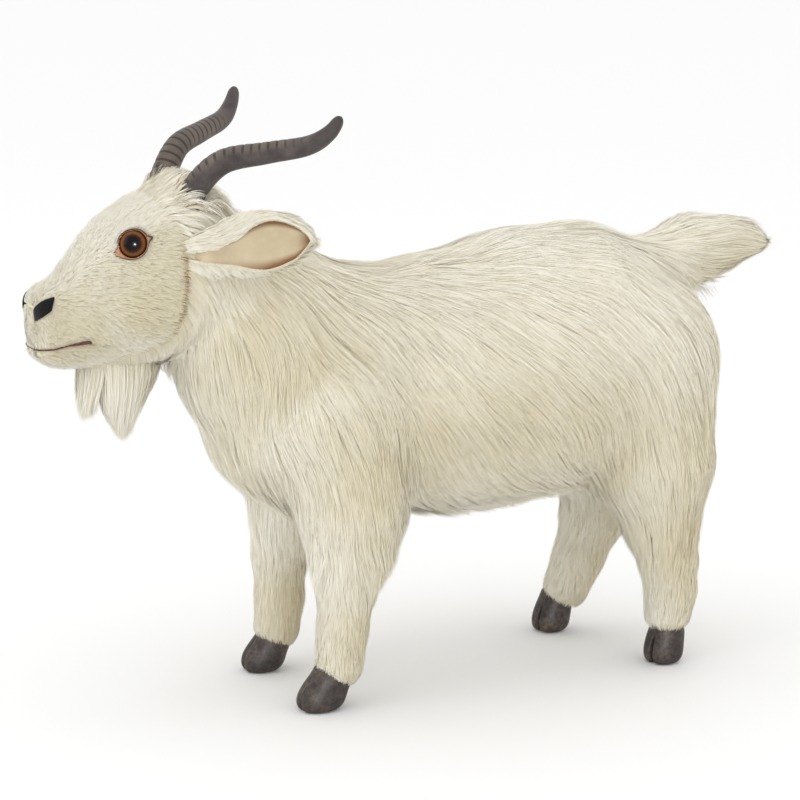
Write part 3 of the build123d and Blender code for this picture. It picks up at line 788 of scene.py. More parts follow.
def noise_tex(nt, scale, detail=3.0, rough=0.55, coord="Object", vec=None):
    n = nt.nodes.new("ShaderNodeTexNoise")
    n.inputs["Scale"].default_value = scale
    n.inputs["Detail"].default_value = detail
    n.inputs["Roughness"].default_value = rough
    if vec is None:
        tc = nt.nodes.new("ShaderNodeTexCoord")
        vec = tc.outputs[coord]
    nt.links.new(vec, n.inputs["Vector"])
    return n


def bump(nt, b, height, strength, dist=0.001):
    n = nt.nodes.new("ShaderNodeBump")
    n.inputs["Strength"].default_value = strength
    n.inputs["Distance"].default_value = dist
    nt.links.new(height, n.inputs["Height"])
    nt.links.new(n.outputs["Normal"], b.inputs["Normal"])


def math_node(nt, op, a, b=None):
    n = nt.nodes.new("ShaderNodeMath")
    n.operation = op
    for i, v in enumerate((a, b)):
        if v is None:
            continue
        if hasattr(v, "links"):
            nt.links.new(v, n.inputs[i])
        else:
            n.inputs[i].default_value = v
    return n.outputs[0]


def uv_axes(nt):
    uv = nt.nodes.new("ShaderNodeUVMap")
    uv.uv_map = "OFBake"
    sep = nt.nodes.new("ShaderNodeSeparateXYZ")
    nt.links.new(uv.outputs["UV"], sep.inputs[0])
    return uv.outputs["UV"], sep.outputs["X"], sep.outputs["Y"]


# ---- horns
HORN = [((25, -166, 318), 8.9), ((28, -161, 333), 8.8), ((39, -147.5, 349), 8.1), ((55, -126, 355), 7.2), ((70, -106, 360), 6.4), ((79.5, -96, 368), 5.1), ((85.5, -90.5, 378.5), 3.4)]


def horn_material():
    m, nt, b = new_mat("horn_suede")
    vec, u, v = uv_axes(nt)
    n1 = noise_tex(nt, 90, 4, 0.6)
    base = ramp_node(nt, [(0.3, (56, 50, 49)), (0.55, (76, 69, 67)), (0.75, (100, 90, 84))], n1.outputs["Fac"])
    # the side that faces up and inward: U around 0.5
    d = math_node(nt, "ABSOLUTE", math_node(nt, "SUBTRACT", u, 0.5))
    face = nt.nodes.new("ShaderNodeMapRange")
    face.interpolation_type = "SMOOTHSTEP"
    nt.links.new(d, face.inputs["Value"])
    face.inputs["From Min"].default_value = 0.30
    face.inputs["From Max"].default_value = 0.19
    n2 = noise_tex(nt, 45, 3, 0.6)
    wob = math_node(nt, "MULTIPLY", math_node(nt, "SUBTRACT", n2.outputs["Fac"], 0.5), 1.1)
    ph = math_node(nt, "ADD", math_node(nt, "MULTIPLY", v, 6.2832 * 23), wob)
    st = math_node(nt, "SINE", ph)
    fade = ramp_node(nt, [(0.05, (255, 255, 255)), (0.62, (255, 255, 255)), (0.8, (0, 0, 0))], v)
    brush = math_node(nt, "MULTIPLY", math_node(nt, "MULTIPLY", face.outputs["Result"], fade.outputs["Color"]), math_node(nt, "MULTIPLY", math_node(nt, "ADD", n2.outputs["Fac"], 0.0), 0.75))
    c1 = mix_rgb(nt, brush, base.outputs["Color"], (*lin((128, 113, 98)), 1))
    line = ramp_node(nt, [(0.0, (0, 0, 0)), (0.72, (0, 0, 0)), (0.88, (255, 255, 255))], math_node(nt, "ADD", math_node(nt, "MULTIPLY", st, 0.5), 0.5))
    lf = math_node(nt, "MULTIPLY", math_node(nt, "MULTIPLY", line.outputs["Color"], face.outputs["Result"]), math_node(nt, "MULTIPLY", fade.outputs["Color"], 0.75))
    c2 = mix_rgb(nt, lf, c1, (*lin((34, 28, 28)), 1))
    tip = ramp_node(nt, [(0.86, (0, 0, 0)), (1.0, (160, 160, 160))], v)
    c3 = mix_rgb(nt, tip.outputs["Color"], c2, (*lin((48, 43, 43)), 1))
    nt.links.new(c3, b.inputs["Base Color"])
    b.inputs["Roughness"].default_value = 0.78
    b.inputs["Specular IOR Level"].default_value = 0.3
    b.inputs["Sheen Weight"].default_value = 0.15
    n3 = noise_tex(nt, 700, 3, 0.6)
    bump(nt, b, n3.outputs["Fac"], 0.35, 0.0004)
    return m


HORN_MAT = horn_material()
for side, s in (("left", 1), ("right", -1)):
    c = curve_pts([(*p, r) for p, r in HORN], 150)
    path, rad = mirror(c[:, :3], s), c[:, 3] * 0.93
    length = np.concatenate([[0], np.cumsum(np.linalg.norm(np.diff(path, axis=0), axis=1))])
    # round the tip off
    left = length[-1] - length
    rad = rad * np.sqrt(np.clip(1 - (np.clip(1 - left / 6.0, 0, 1)) ** 2.4, 0.004, 1))
    T = unit(np.gradient(path, axis=0))
    want = np.array([-0.42 * s, 0.0, 0.9])
    E = unit(want - T * (T @ want)[:, None])
    F2 = np.cross(T, E)
    nb = 40
    a = (np.arange(nb) / nb - 0.5) * 2 * np.pi
    v = np.linspace(0, 1, len(path))
    groove = np.clip(np.sin(v * 2 * np.pi * 23), 0, 1) ** 3 * smoothstep(0.82, 0.6, v)
    face = smoothstep(1.9, 1.1, np.abs(a))
    R = rad[:, None] * (1 - 0.045 * groove[:, None] * face[None]) * (1 + 0.012 * np.sin(a * 3 + 1)[None])
    G = path[:, None] + R[..., None] * (np.cos(a)[None, :, None] * E[:, None] + np.sin(a)[None, :, None] * F2[:, None])
    o = grid_mesh(f"{side}_horn_form", G, HORN_MAT, wrap=True, caps=(True, True), close=True)
    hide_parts(f"{side}_horn", f"{side}_horn_stuffing")
    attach(o, "head")


# ---- eyes
def eye_material():
    m, nt, b = new_mat("eye_glass")
    vec, u, v = uv_axes(nt)
    # the disc is laid out flat round (0.5, 0.5)
    off = nt.nodes.new("ShaderNodeVectorMath")
    off.operation = "SUBTRACT"
    nt.links.new(vec, off.inputs[0])
    off.inputs[1].default_value = (0.5, 0.5, 0)
    ln = nt.nodes.new("ShaderNodeVectorMath")
    ln.operation = "LENGTH"
    nt.links.new(off.outputs[0], ln.inputs[0])
    r = math_node(nt, "MULTIPLY", ln.outputs["Value"], 2.04)
    nrm = nt.nodes.new("ShaderNodeVectorMath")
    nrm.operation = "NORMALIZE"
    nt.links.new(off.outputs[0], nrm.inputs[0])
    n = noise_tex(nt, 9, 3, 0.6, vec=nrm.outputs[0])
    rr = math_node(nt, "ADD", r, math_node(nt, "MULTIPLY", math_node(nt, "SUBTRACT", n.outputs["Fac"], 0.5), 0.10))
    col = ramp_node(nt, [(0.0, (4, 3, 3)), (0.40, (5, 4, 3)), (0.46, (30, 15, 8)), (0.57, (56, 29, 13)), (0.65, (106, 62, 30)), (0.77, (128, 77, 38)), (0.86, (78, 44, 22)), (0.93, (46, 26, 14)), (1.0, (36, 20, 12))], rr)
    st = ramp_node(nt, [(0.35, (190, 190, 190)), (0.65, (255, 255, 255))], n.outputs["Fac"])
    nt.links.new(mix_rgb(nt, 0.5, col.outputs["Color"], st.outputs["Color"], "MULTIPLY"), b.inputs["Base Color"])
    b.inputs["Roughness"].default_value = 0.3
    b.inputs["Specular IOR Level"].default_value = 0.05
    b.inputs["Coat Weight"].default_value = 0.22
    b.inputs["Coat Roughness"].default_value = 0.02
    b.inputs["Coat IOR"].default_value = 1.5
    return m


def leather_material():
    m, nt, b = new_mat("eyelid_leather")
    vec, u, v = uv_axes(nt)
    n = noise_tex(nt, 260, 3)
    base = ramp_node(nt, [(0.35, (172, 122, 82)), (0.65, (196, 146, 104))], n.outputs["Fac"])
    edge = ramp_node(nt, [(0.0, (58, 32, 18)), (0.16, (92, 54, 30)), (0.24, (255, 255, 255)), (0.42, (255, 255, 255)), (0.47, (176, 122, 84)), (0.52, (255, 255, 255)), (0.80, (236, 214, 200)), (0.93, (84, 46, 24)), (1.0, (50, 26, 14))], v)
    nt.links.new(mix_rgb(nt, 1.0, base.outputs["Color"], edge.outputs["Color"], "MULTIPLY"), b.inputs["Base Color"])
    b.inputs["Roughness"].default_value = 0.6
    bump(nt, b, n.outputs["Fac"], 0.3, 0.0003)
    return m


def dark_leather():
    m, nt, b = new_mat("eyelid_edge")
    n = noise_tex(nt, 300, 2)
    c = ramp_node(nt, [(0.3, (44, 25, 15)), (0.7, (74, 44, 27))], n.outputs["Fac"])
    nt.links.new(c.outputs["Color"], b.inputs["Base Color"])
    b.inputs["Roughness"].default_value = 0.55
    bump(nt, b, n.outputs["Fac"], 0.2, 0.0002)
    return m


EYE_MAT, LID_MAT, EDGE_MAT = eye_material(), leather_material(), dark_leather()
EYE_R = 9.0
EA, EB, EN = frame_of(EYE_N, (0, 0, 1))
EYE_O = EYE_C + EB * 0.2
ALM = curve_pts(ALMOND, 72, closed=True)
for _ in range(3):                                  # the lid keeps clear of the glass all round
    _rel = on_head(ALM, 1.5) - EYE_O
    _a, _b2 = _rel @ EA, _rel @ EB
    _rr = np.hypot(_a, _b2)
    ALM = ALM + (_a[:, None] * EA + _b2[:, None] * EB) / _rr[:, None] * np.clip(9.3 - _rr, 0, 3)[:, None]


def eye_uv(p):
    q = p - EYE_C
    return np.stack([q @ EA, q @ EB], 1)


for side, s in (("left", 1), ("right", -1)):
    # glass dome on its stem plate
    rad = np.concatenate([[0.0], np.linspace(0.09, 1, 14)]) * EYE_R
    R = 12.6
    zc = np.sqrt(R ** 2 - rad ** 2) - np.sqrt(R ** 2 - EYE_R ** 2)
    th = np.linspace(0, 2 * np.pi, 48, endpoint=False)
    verts, faces, uvs = [], [], []
    for i, (r0, h0) in enumerate(zip(rad[1:], zc[1:])):
        for t in th:
            verts.append(EYE_O + EA * r0 * np.cos(t) + EB * r0 * np.sin(t) + EN * (h0 - 0.9))
    verts += [EYE_O + EA * EYE_R * np.cos(t) + EB * EYE_R * np.sin(t) - EN * 3.4 for t in th]
    verts.append(EYE_O + EN * (zc[0] - 0.9))
    verts.append(EYE_O - EN * 3.4)
    top, bot = len(verts) - 2, len(verts) - 1
    flat = lambda v: tuple(0.5 + 0.49 * np.clip(np.array([(v - EYE_O) @ EA, (v - EYE_O) @ EB]) / EYE_R, -1, 1))
    for j in range(48):
        k = (j + 1) % 48
        faces.append((top, j, k))
        for i in range(14):
            faces.append((i * 48 + j, (i + 1) * 48 + j, (i + 1) * 48 + k, i * 48 + k))
        faces.append((14 * 48 + j, bot, 14 * 48 + k))
    o = mesh_object(f"{side}_eye_glass", mirror(np.array(verts), s), faces, EYE_MAT)
    lay = o.data.uv_layers.new(name="OFBake")
    V0 = np.array(verts)
    for poly in o.data.polygons:
        for li in poly.loop_indices:
            lay.data[li].uv = flat(V0[o.data.loops[li].vertex_index])
    bm = bmesh.new(); bm.from_mesh(o.data); bmesh.ops.recalc_face_normals(bm, faces=bm.faces); bm.to_mesh(o.data); bm.free()
    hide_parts(f"{side}_eye")
    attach(o, "head")
    # leather round the eye
    n = len(ALM)
    rel = ALM - EYE_O
    ang = np.arctan2(rel @ EB, rel @ EA)
    outer = on_head(ALM, 1.5)
    reach = np.linalg.norm(np.stack([(outer - EYE_O) @ EA, (outer - EYE_O) @ EB]), axis=0)
    ri = np.minimum(8.6, reach - 0.5)
    dome = np.sqrt(12.6 ** 2 - ri ** 2) - np.sqrt(12.6 ** 2 - EYE_R ** 2) - 0.9 + 0.35
    inner = EYE_O + ri[:, None] * (np.cos(ang)[:, None] * EA + np.sin(ang)[:, None] * EB) + EN * np.maximum(dome, 0.3)[:, None]
    low_o = on_head(ALM, -1.2)
    mid = [outer * (1 - t) + inner * t + EN * (0.7 * math.sin(math.pi * t)) for t in (0.12, 0.25, 0.4, 0.55, 0.7, 0.85)]
    mid = [m_ + HEAD.normal(m_) * np.clip(0.9 - HEAD.dist(m_), 0, 6)[:, None] for m_ in mid]
    inner = inner + HEAD.normal(inner) * np.clip(0.7 - HEAD.dist(inner), 0, 6)[:, None]
    rows = [low_o, outer] + mid + [inner, inner - EN * 2.0]
    G = mirror(np.array(rows), s)
    o = grid_mesh(f"{side}_eyelid_leather", G, LID_MAT, wrap=True, close=True)
    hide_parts(f"{side}_eyelid")
    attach(o, "head")
    # rolled dark edge, thicker along the top
    upper = smoothstep(-2, 4, rel @ EB)
    G = mirror(tube(on_head(ALM, 1.5), 0.34 + 0.34 * upper, 8, up=EN, closed=True), s)
    G = np.concatenate([G, G[:1]])
    o = grid_mesh(f"{side}_eyelid_edge", G, EDGE_MAT, wrap=True, uv=False, close=True)
    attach(o, "head")


# ---- nostrils and mouth
def felt_material():
    m, nt, b = new_mat("nostril_felt")
    n = noise_tex(nt, 900, 4, 0.7)
    c = ramp_node(nt, [(0.3, (8, 8, 9)), (0.7, (26, 25, 27))], n.outputs["Fac"])
    nt.links.new(c.outputs["Color"], b.inputs["Base Color"])
    b.inputs["Roughness"].default_value = 0.95
    b.inputs["Specular IOR Level"].default_value = 0.1
    b.inputs["Sheen Weight"].default_value = 0.2
    bump(nt, b, n.outputs["Fac"], 0.6, 0.0004)
    return m


def thread_material():
    m, nt, b = new_mat("mouth_thread")
    n = noise_tex(nt, 500, 3)
    c = ramp_node(nt, [(0.3, (58, 34, 24)), (0.7, (104, 66, 48))], n.outputs["Fac"])
    nt.links.new(c.outputs["Color"], b.inputs["Base Color"])
    b.inputs["Roughness"].default_value = 0.85
    bump(nt, b, n.outputs["Fac"], 0.4, 0.0003)
    return m


FELT, THREAD = felt_material(), thread_material()
NOS = np.array(NOSTRIL)
NA, NB, NN = frame_of(np.cross(NOS[1] - NOS[3], NOS[0] - NOS[3]) * np.sign(np.cross(NOS[1] - NOS[3], NOS[0] - NOS[3])[1]) * -1, (0, 0, 1))
NOS_C = NOS.mean(0)
# corners stay crisp: points along the straight edges, slightly bowed
edge = np.concatenate([NOS[i] * (1 - t) + NOS[(i + 1) % 6] * t for i in range(6) for t in np.linspace(0, 1, 8, endpoint=False)[:, None]]).reshape(-1, 3)
edge = edge * 0.5 + (np.roll(edge, 1, 0) + np.roll(edge, -1, 0)) * 0.25
for side, s in (("left", 1), ("right", -1)):
    rows = [on_head(edge, -0.6), on_head(edge, 2.0)] + [on_head(edge * (1 - t) + NOS_C * t, 2.5) for t in (0.06, 0.3, 0.6, 0.85, 0.97)]
    G = mirror(np.array(rows), s)
    o = grid_mesh(f"{side}_nostril_felt", G, FELT, wrap=True, caps=(True, True), uv=False, close=True)
    if s > 0:
        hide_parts("nostril_patches")
    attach(o, "head")
half = curve_pts(MOUTH, 60)
path = on_head(np.concatenate([mirror(half[::-1], -1), half[1:]]), 1.5)
s_ = np.abs(np.linspace(-1, 1, len(path)))
r_ = 0.52 + 0.5 * smoothstep(0.68, 0.85, s_) * smoothstep(1.02, 0.95, s_) + 0.2 * smoothstep(0.12, 0.0, s_)
twist = 1 + 0.12 * np.sin(np.arange(len(path)) * 1.9)
o = grid_mesh("mouth_line", tube(path, r_ * twist, 8), THREAD, wrap=True, caps=(True, True), uv=False, close=True)
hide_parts("mouth_thread")
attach(o, "head")


# ---- ears
EAR_B = np.array((50.9, -174.8, 0.0))
EAR_1 = unit(np.array((0.275, 1.0, 0.0)))
EAR_N = np.array((EAR_1[1], -EAR_1[0], 0.0))
U_TOP = ([-4, 6.8, 20, 32, 46, 58.5, 68, 75.3, 78.2, 79], [303, 308, 315, 320.5, 321.7, 320.2, 317, 311.3, 305, 303])
U_BOT = ([-4, 5, 16, 30.5, 43.7, 57.5, 68.4, 76.3, 78.2, 79], [289, 287, 286, 284.9, 283.9, 285.9, 291.1, 298.2, 302, 303])
V_TOP = ([-4, 0, 15.6, 30.7, 37.9, 45.2, 52.4, 60.7, 68.6, 75.2, 77], [295, 295.6, 299.4, 304.4, 311.0, 314.6, 316.0, 314.6, 310.9, 305.9, 303])
V_BOT = ([-4, 0, 15.6, 30.5, 39.5, 49.2, 58.8, 67.9, 74.5, 77], [293, 292.6, 291.0, 289.4, 286.9, 286.0, 288.6, 292.7, 299.2, 303])


def suede_material():
    m, nt, b = new_mat("ear_lining_suede")
    vec, u, v = uv_axes(nt)
    n = noise_tex(nt, 60, 4, 0.6)
    f = noise_tex(nt, 900, 2)
    base = ramp_node(nt, [(0.3, (196, 178, 146)), (0.7, (212, 197, 166))], n.outputs["Fac"])
    # U runs from the lower edge to the upper edge, V from root to tip
    d = math_node(nt, "ABSOLUTE", math_node(nt, "SUBTRACT", u, 0.5))
    across = nt.nodes.new("ShaderNodeMapRange")
    across.interpolation_type = "SMOOTHSTEP"
    nt.links.new(d, across.inputs["Value"])
    across.inputs["From Min"].default_value = 0.28
    across.inputs["From Max"].default_value = 0.5
    tip = nt.nodes.new("ShaderNodeMapRange")
    tip.interpolation_type = "SMOOTHSTEP"
    nt.links.new(v, tip.inputs["Value"])
    tip.inputs["From Min"].default_value = 0.74
    tip.inputs["From Max"].default_value = 1.0
    far = ramp_node(nt, [(0.35, (70, 70, 70)), (0.6, (255, 255, 255))], v)
    k = math_node(nt, "MAXIMUM", math_node(nt, "MULTIPLY", across.outputs["Result"], far.outputs["Color"]), tip.outputs["Result"])
    k = math_node(nt, "MULTIPLY", k, math_node(nt, "ADD", n.outputs["Fac"], 0.6))
    c1 = mix_rgb(nt, k, base.outputs["Color"], (*lin((138, 98, 64)), 1))
    up = nt.nodes.new("ShaderNodeMapRange")
    up.interpolation_type = "SMOOTHSTEP"
    nt.links.new(u, up.inputs["Value"])
    up.inputs["From Min"].default_value = 0.80
    up.inputs["From Max"].default_value = 0.97
    c2 = mix_rgb(nt, math_node(nt, "MULTIPLY", up.outputs["Result"], 0.95), c1, (*lin((120, 84, 54)), 1))
    nt.links.new(c2, b.inputs["Base Color"])
    b.inputs["Roughness"].default_value = 0.9
    b.inputs["Sheen Weight"].default_value = 0.3
    b.inputs["Specular IOR Level"].default_value = 0.15
    bump(nt, b, f.outputs["Fac"], 0.25, 0.0003)
    return m


SUEDE = suede_material()


def ear_point(u, z, n):
    return EAR_B + EAR_1 * (0.945 * np.asarray(u)[..., None]) + np.array((0, 0, 1.0)) * np.asarray(z)[..., None] + EAR_N * np.asarray(n)[..., None]


eu = np.concatenate([np.linspace(-6, 66, 38), np.linspace(67.5, 78.6, 14)])
zt, zb = np.interp(eu, *U_TOP), np.interp(eu, *U_BOT)
lt, lb = np.interp(eu, *V_TOP), np.interp(eu, *V_BOT)
ker = np.array([1, 2, 3, 2, 1]) / 9.0
smooth = lambda a: np.convolve(np.pad(a, 2, mode="edge"), ker, "valid")
zt[:-3], zb[:-3], lt[:-3], lb[:-3] = smooth(zt)[:-3], smooth(zb)[:-3], smooth(lt)[:-3], smooth(lb)[:-3]
lt, lb = np.maximum(lt, lb + 0.3), lb
open_ = smoothstep(2, 34, eu)                       # the ear is rolled nearly shut at its root
tipk = np.sqrt(np.clip((79 - eu) / 14, 0.02, 1))
bulge = smoothstep(-6, 16, eu) * tipk
rows_c, rows_l = [], []
for i, u in enumerate(eu):
    t, b_, a1, a0, k = zt[i], zb[i], lt[i], lb[i], bulge[i]
    cyc = (t + b_) / 2
    prof = np.array([
        (a0 + 0.2, 0.2 + 1.2 * k), (a0 - 0.6, 1.8 * k + 0.6), (b_ + 0.5, 0.6 * k + 0.4), (b_, -1.0 * k), (b_ + 0.22 * (t - b_), -4.2 * k), (cyc, -6.2 * k),
        (b_ + 0.78 * (t - b_), -4.6 * k), (t - 0.4, -1.2 * k), (t, 1.6 * k), ((t * 0.72 + a1 * 0.28), 4.4 * k), ((t * 0.35 + a1 * 0.65), 4.6 * k), (a1 + 0.5, 3.2 * k), (a1 + 0.6, 1.2 * k)])
    c = curve_pts(prof, 30)
    sink = -8.0 * (1 - smoothstep(-6, 18, u))
    rows_c.append(ear_point(np.full(30, u), c[:, 0], c[:, 1] + 1.0 + sink))
    q = np.linspace(0, 1, 16)
    depth = -3.6 * np.sin(np.pi * q) ** 0.8 * open_[i] * tipk[i] + 1.0 * q * k
    zz = a0 + 0.1 + (a1 + 1.2 - a0) * q
    rows_l.append(ear_point(np.full(16, u), zz, depth + 1.2 + 0.4 * k - 15.0 * (1 - smoothstep(-6, 13, u))))
EAR_C, EAR_L = np.array(rows_c), np.array(rows_l)
for side, s in (("left", 1), ("right", -1)):
    o = grid_mesh(f"{side}_ear_back", mirror(EAR_C, s), SKIN_MAT, uv=False, flip=(s > 0))
    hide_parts(f"{side}_ear_cover")
    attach(o, f"{side}_ear")
    o = grid_mesh(f"{side}_ear_suede", mirror(EAR_L, s), SUEDE, flip=(s < 0))
    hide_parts(f"{side}_ear_lining")
    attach(o, f"{side}_ear")


# ---- hooves
def hoof_material():
    m, nt, b = new_mat("hoof_vinyl")
    n1 = noise_tex(nt, 55, 4, 0.62)
    n2 = noise_tex(nt, 420, 4, 0.7)
    c = ramp_node(nt, [(0.30, (46, 38, 36)), (0.48, (70, 60, 56)), (0.62, (94, 80, 68)), (0.76, (126, 100, 66))], n1.outputs["Fac"])
    g = ramp_node(nt, [(0.38, (120, 118, 116)), (0.60, (255, 255, 255))], n2.outputs["Fac"])
    nt.links.new(mix_rgb(nt, 0.75, c.outputs["Color"], g.outputs["Color"], "MULTIPLY"), b.inputs["Base Color"])
    b.inputs["Roughness"].default_value = 0.55
    b.inputs["Specular IOR Level"].default_value = 0.4
    bump(nt, b, n2.outputs["Fac"], 0.5, 0.0005)
    return m


HOOF_MAT = hoof_material()
HOOF = {  # x, y at the ball of the foot, y at the top, half width, half length, how far it toes out
    "left_front": (46, -88.5, -80, 13.2, 15.4, 4), "right_front": (-46, -90.5, -82, 12.8, 14.0, -4),
    "left_hind": (47.5, 156.5, 159, 12.8, 12.2, 16), "right_hind": (-48.5, 122.5, 126.5, 12.6, 12.2, 14)}
for key, (hx, hy, ty, hw, hl, toe) in HOOF.items():
    na = 96
    a0 = np.linspace(-1, 1, na, endpoint=False)
    ang = -np.pi / 2 + np.pi * np.sign(a0) * np.abs(a0) ** 1.35          # closer points round the cleft
    levels = [(0.0, 0.60, 0.58, -2.4), (0.5, 0.74, 0.70, -2.1), (1.8, 0.88, 0.84, -1.5), (4.2, 0.97, 0.95, -0.7), (7.5, 1.0, 1.0, 0.0), (11.5, 0.99, 1.0, 1.2), (16, 0.96, 0.97, 3.6), (20, 0.93, 0.93, 6.2), (24, 0.86, 0.86, 8.4), (30, 0.78, 0.78, 9.6)]
    G = []
    tr = math.radians(toe)
    for z, kx, ky, sh in levels:
        e = 2.35
        c, s_ = np.cos(ang), np.sin(ang)
        r = 1.0 / ((np.abs(c) / (hw * kx)) ** e + (np.abs(s_) / (hl * ky)) ** e) ** (1 / e)
        x, y = r * c, r * s_
        # toes split from the front
        front = smoothstep(0.0, -0.35, s_)
        cut = np.exp(-(x / 0.95) ** 2) * front * smoothstep(19.0, 14.0, z)
        y = y + cut * (5.5 if z > 0.2 else 8.0)
        swell = np.exp(-((np.abs(x) - 5.5) / 3.5) ** 2) * front * smoothstep(20, 8, z) * 0.6
        y = y - swell
        k = sh / 8.4
        xr, yr = x * math.cos(tr) - y * math.sin(tr), x * math.sin(tr) + y * math.cos(tr)
        G.append(np.stack([hx + xr, hy + (ty - hy) * k + yr, np.full(na, z)], 1))
    o = grid_mesh(f"{key}_hoof_form", np.array(G), HOOF_MAT, wrap=True, caps=(True, True), uv=False, close=True)
    sub = o.modifiers.new("round", "SUBSURF")
    sub.levels = sub.render_levels = 1
    dg = bpy.context.evaluated_depsgraph_get()
    me = bpy.data.meshes.new_from_object(o.evaluated_get(dg))
    o.modifiers.clear()
    o.data = me
    zmin = min(v.co.z for v in me.vertices)
    for v in me.vertices:
        v.co.z = max(v.co.z - zmin, 0.0)
    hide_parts(f"{key}_hoof")
    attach(o, f"{key}_leg")


# ---- finishes for the pieces inside
def wire_material(name, dark, light, rough, metal):
    m, nt, b = new_mat(name)
    n = noise_tex(nt, 300, 3)
    c = ramp_node(nt, [(0.3, dark), (0.7, light)], n.outputs["Fac"])
    nt.links.new(c.outputs["Color"], b.inputs["Base Color"])
    b.inputs["Roughness"].default_value = rough
    b.inputs["Metallic"].default_value = metal
    bump(nt, b, n.outputs["Fac"], 0.15, 0.0002)
    return m


WIRE_MAT = wire_material("galvanised_wire", (118, 120, 122), (164, 166, 168), 0.4, 1.0)
WASHER_MAT = wire_material("washer_nylon", (226, 226, 222), (240, 240, 236), 0.5, 0.0)
for o in list(scene.objects):
    if o.type != "MESH":
        continue
    base = o.name.split(".")[0]
    if base.endswith("_wire"):
        m = WIRE_MAT
    elif base.startswith("eye_washers"):
        m = WASHER_MAT
    else:
        continue
    for k in range(max(1, len(o.material_slots))):
        if len(o.material_slots) <= k:
            o.data.materials.append(m)
        else:
            o.material_slots[k].material = m


# ------------------------------------------------------------------ long pile
THIN = 1.0
TAN = [((52, -139, 281), 11, 0.30), ((50, -140, 250), 30, 0.10), ((58, -95, 232), 30, 0.06), ((60, 60, 190), 26, 0.06), ((66, -100, 207), 17, 0.12), ((64, -92, 178), 15, 0.12), ((62, 17, 144), 17, 0.13), ((40, -165, 180), 14, 0.07)]


def leg_low(p):
    """0 on the long-pile upper leg, 1 on the short-pile lower leg."""
    return 1 - smoothstep(62, 82, p[:, 2])


def density_body(p):
    low = leg_low(p)
    return (1.4 * (1 - low) + 2.2 * low) * THIN


roots = sample_surface(bv, bq, density_body)
hd = HEAD.dist(roots)
inbox = np.all((roots > HEAD.lo) & (roots < HEAD.lo + (np.array(HEAD.shape) - 1) * HEAD.h), axis=1)
leg_y = np.array([0, 0, 0, -76, -80, 160, 129.0])[region(roots)]
cuff = np.where(leg_y < 0, np.where(roots[:, 0] > 0, 19.5, 22.5) - 0.46 * (roots[:, 1] - leg_y), np.where(leg_y > 150, 30.0, 24.5 - 0.3 * (roots[:, 1] - leg_y)))
cuff = np.where(leg_y != 0, cuff, 0) + rng.normal(0, 0.5, len(roots))
keep = ~(inbox & (hd < 0.5)) & (roots[:, 2] > cuff)
roots = roots[keep]
n = len(roots)
rr = region(roots)
low = leg_low(roots)
nz = BODY.normal(roots)[:, 2]
neckish = (rr == 1) * 1.0
L = 41 + 4 * neckish - 5 * smoothstep(0.55, 1.0, nz) - 3 * smoothstep(0.3, 1.0, -nz)
L = np.where(rr == 2, 44.0, L)
leggy = (rr >= 3) & (roots[:, 2] < 150)
L = np.where(leggy, np.minimum(L, 10.0 + 27.0 * smoothstep(48, 140, roots[:, 2])), L)
over_hoof = np.where(leg_y[keep] != 0, roots[:, 2] - cuff[keep], 99.0)
L = np.minimum(L, 6.5 + 0.5 * np.clip(over_hoof, 0, 200))
L = np.where(rr == 2, np.clip(264 - roots[:, 1], 13, 38), L)
L = L * rng.normal(1, 0.14, n).clip(0.6, 1.4)
height = 10.0 * (1 - low) + 3.0 * low - 3.0 * smoothstep(0.6, 1, nz) * (1 - low)
height = np.where(leggy, 3.0 + 6.0 * smoothstep(55, 140, roots[:, 2]), height)
height = height * (1 - 0.3 * smoothstep(150, 190, roots[:, 1]) * (roots[:, 2] < 245))
height = np.where(rr == 2, 5.5, height)
height = height * (1 + 0.32 * np.sin(roots @ (_WAVES[:5] * 1.3).T + _PHASE[5:]).sum(1) / 2.2)
grav = 0.18 + 0.25 * smoothstep(0.0, 0.8, -nz) - 0.1 * smoothstep(0.5, 1, nz)
grav = np.where(rr == 2, 0.02, grav) * (1 - 0.6 * low)
lift = 0.9 * (1 - low) + 1.1 * low
K = 5
P, N = grow(WHOLE, roots, L, K, lift, height, grav, comb, pull=np.where(rr == 2, 0.15, 1.0))
# two sizes of lock: broad ones and fine ones inside them
big = np.flatnonzero(rng.random(n) < 1 / (230.0 * THIN))
small = np.flatnonzero(rng.random(n) < 1 / (38.0 * THIN))
P0 = P
P = clump(P, N, big, 0.34, 1.3)
P = clump(P, N, small, 0.46, 1.2)
P = P + (P0 - P) * (0.75 * low)[:, None, None]
W = (0.355 * (1 - low) + 0.31 * low) * rng.normal(1, 0.18, n).clip(0.6, 1.5) / math.sqrt(THIN)
_nb = BODY.normal(roots)
# Tint rises on coat facing up and facing forward: painted light from above and from the front; the wave term is random
# tone.
tint = 0.62 + 0.19 * _nb[:, 2].clip(0, 1) + 0.24 * (-_nb[:, 1]).clip(0, 1) - 0.06 * low + 0.09 * (np.sin(roots @ _WAVES[:5].T * 0.8 + _PHASE[:5]).sum(1) / 2.2) + rng.normal(0, 0.05, n)
ar = np.abs(roots[:, 0])
for (tx, ty, tz), tr, ta in TAN:
    tint -= ta * np.exp(-((ar - tx) ** 2 + (roots[:, 1] - ty) ** 2 + (roots[:, 2] - tz) ** 2) / (tr * tr))
# About four strands in ten go dark just above the hoof: painted shade where the pile meets the hoof.
cuffk = over_hoof
tint -= 0.45 * np.exp(-(cuffk / 2.0) ** 2) * (rng.random(n) < 0.4)
tint = tint.clip(0.05, 0.99)


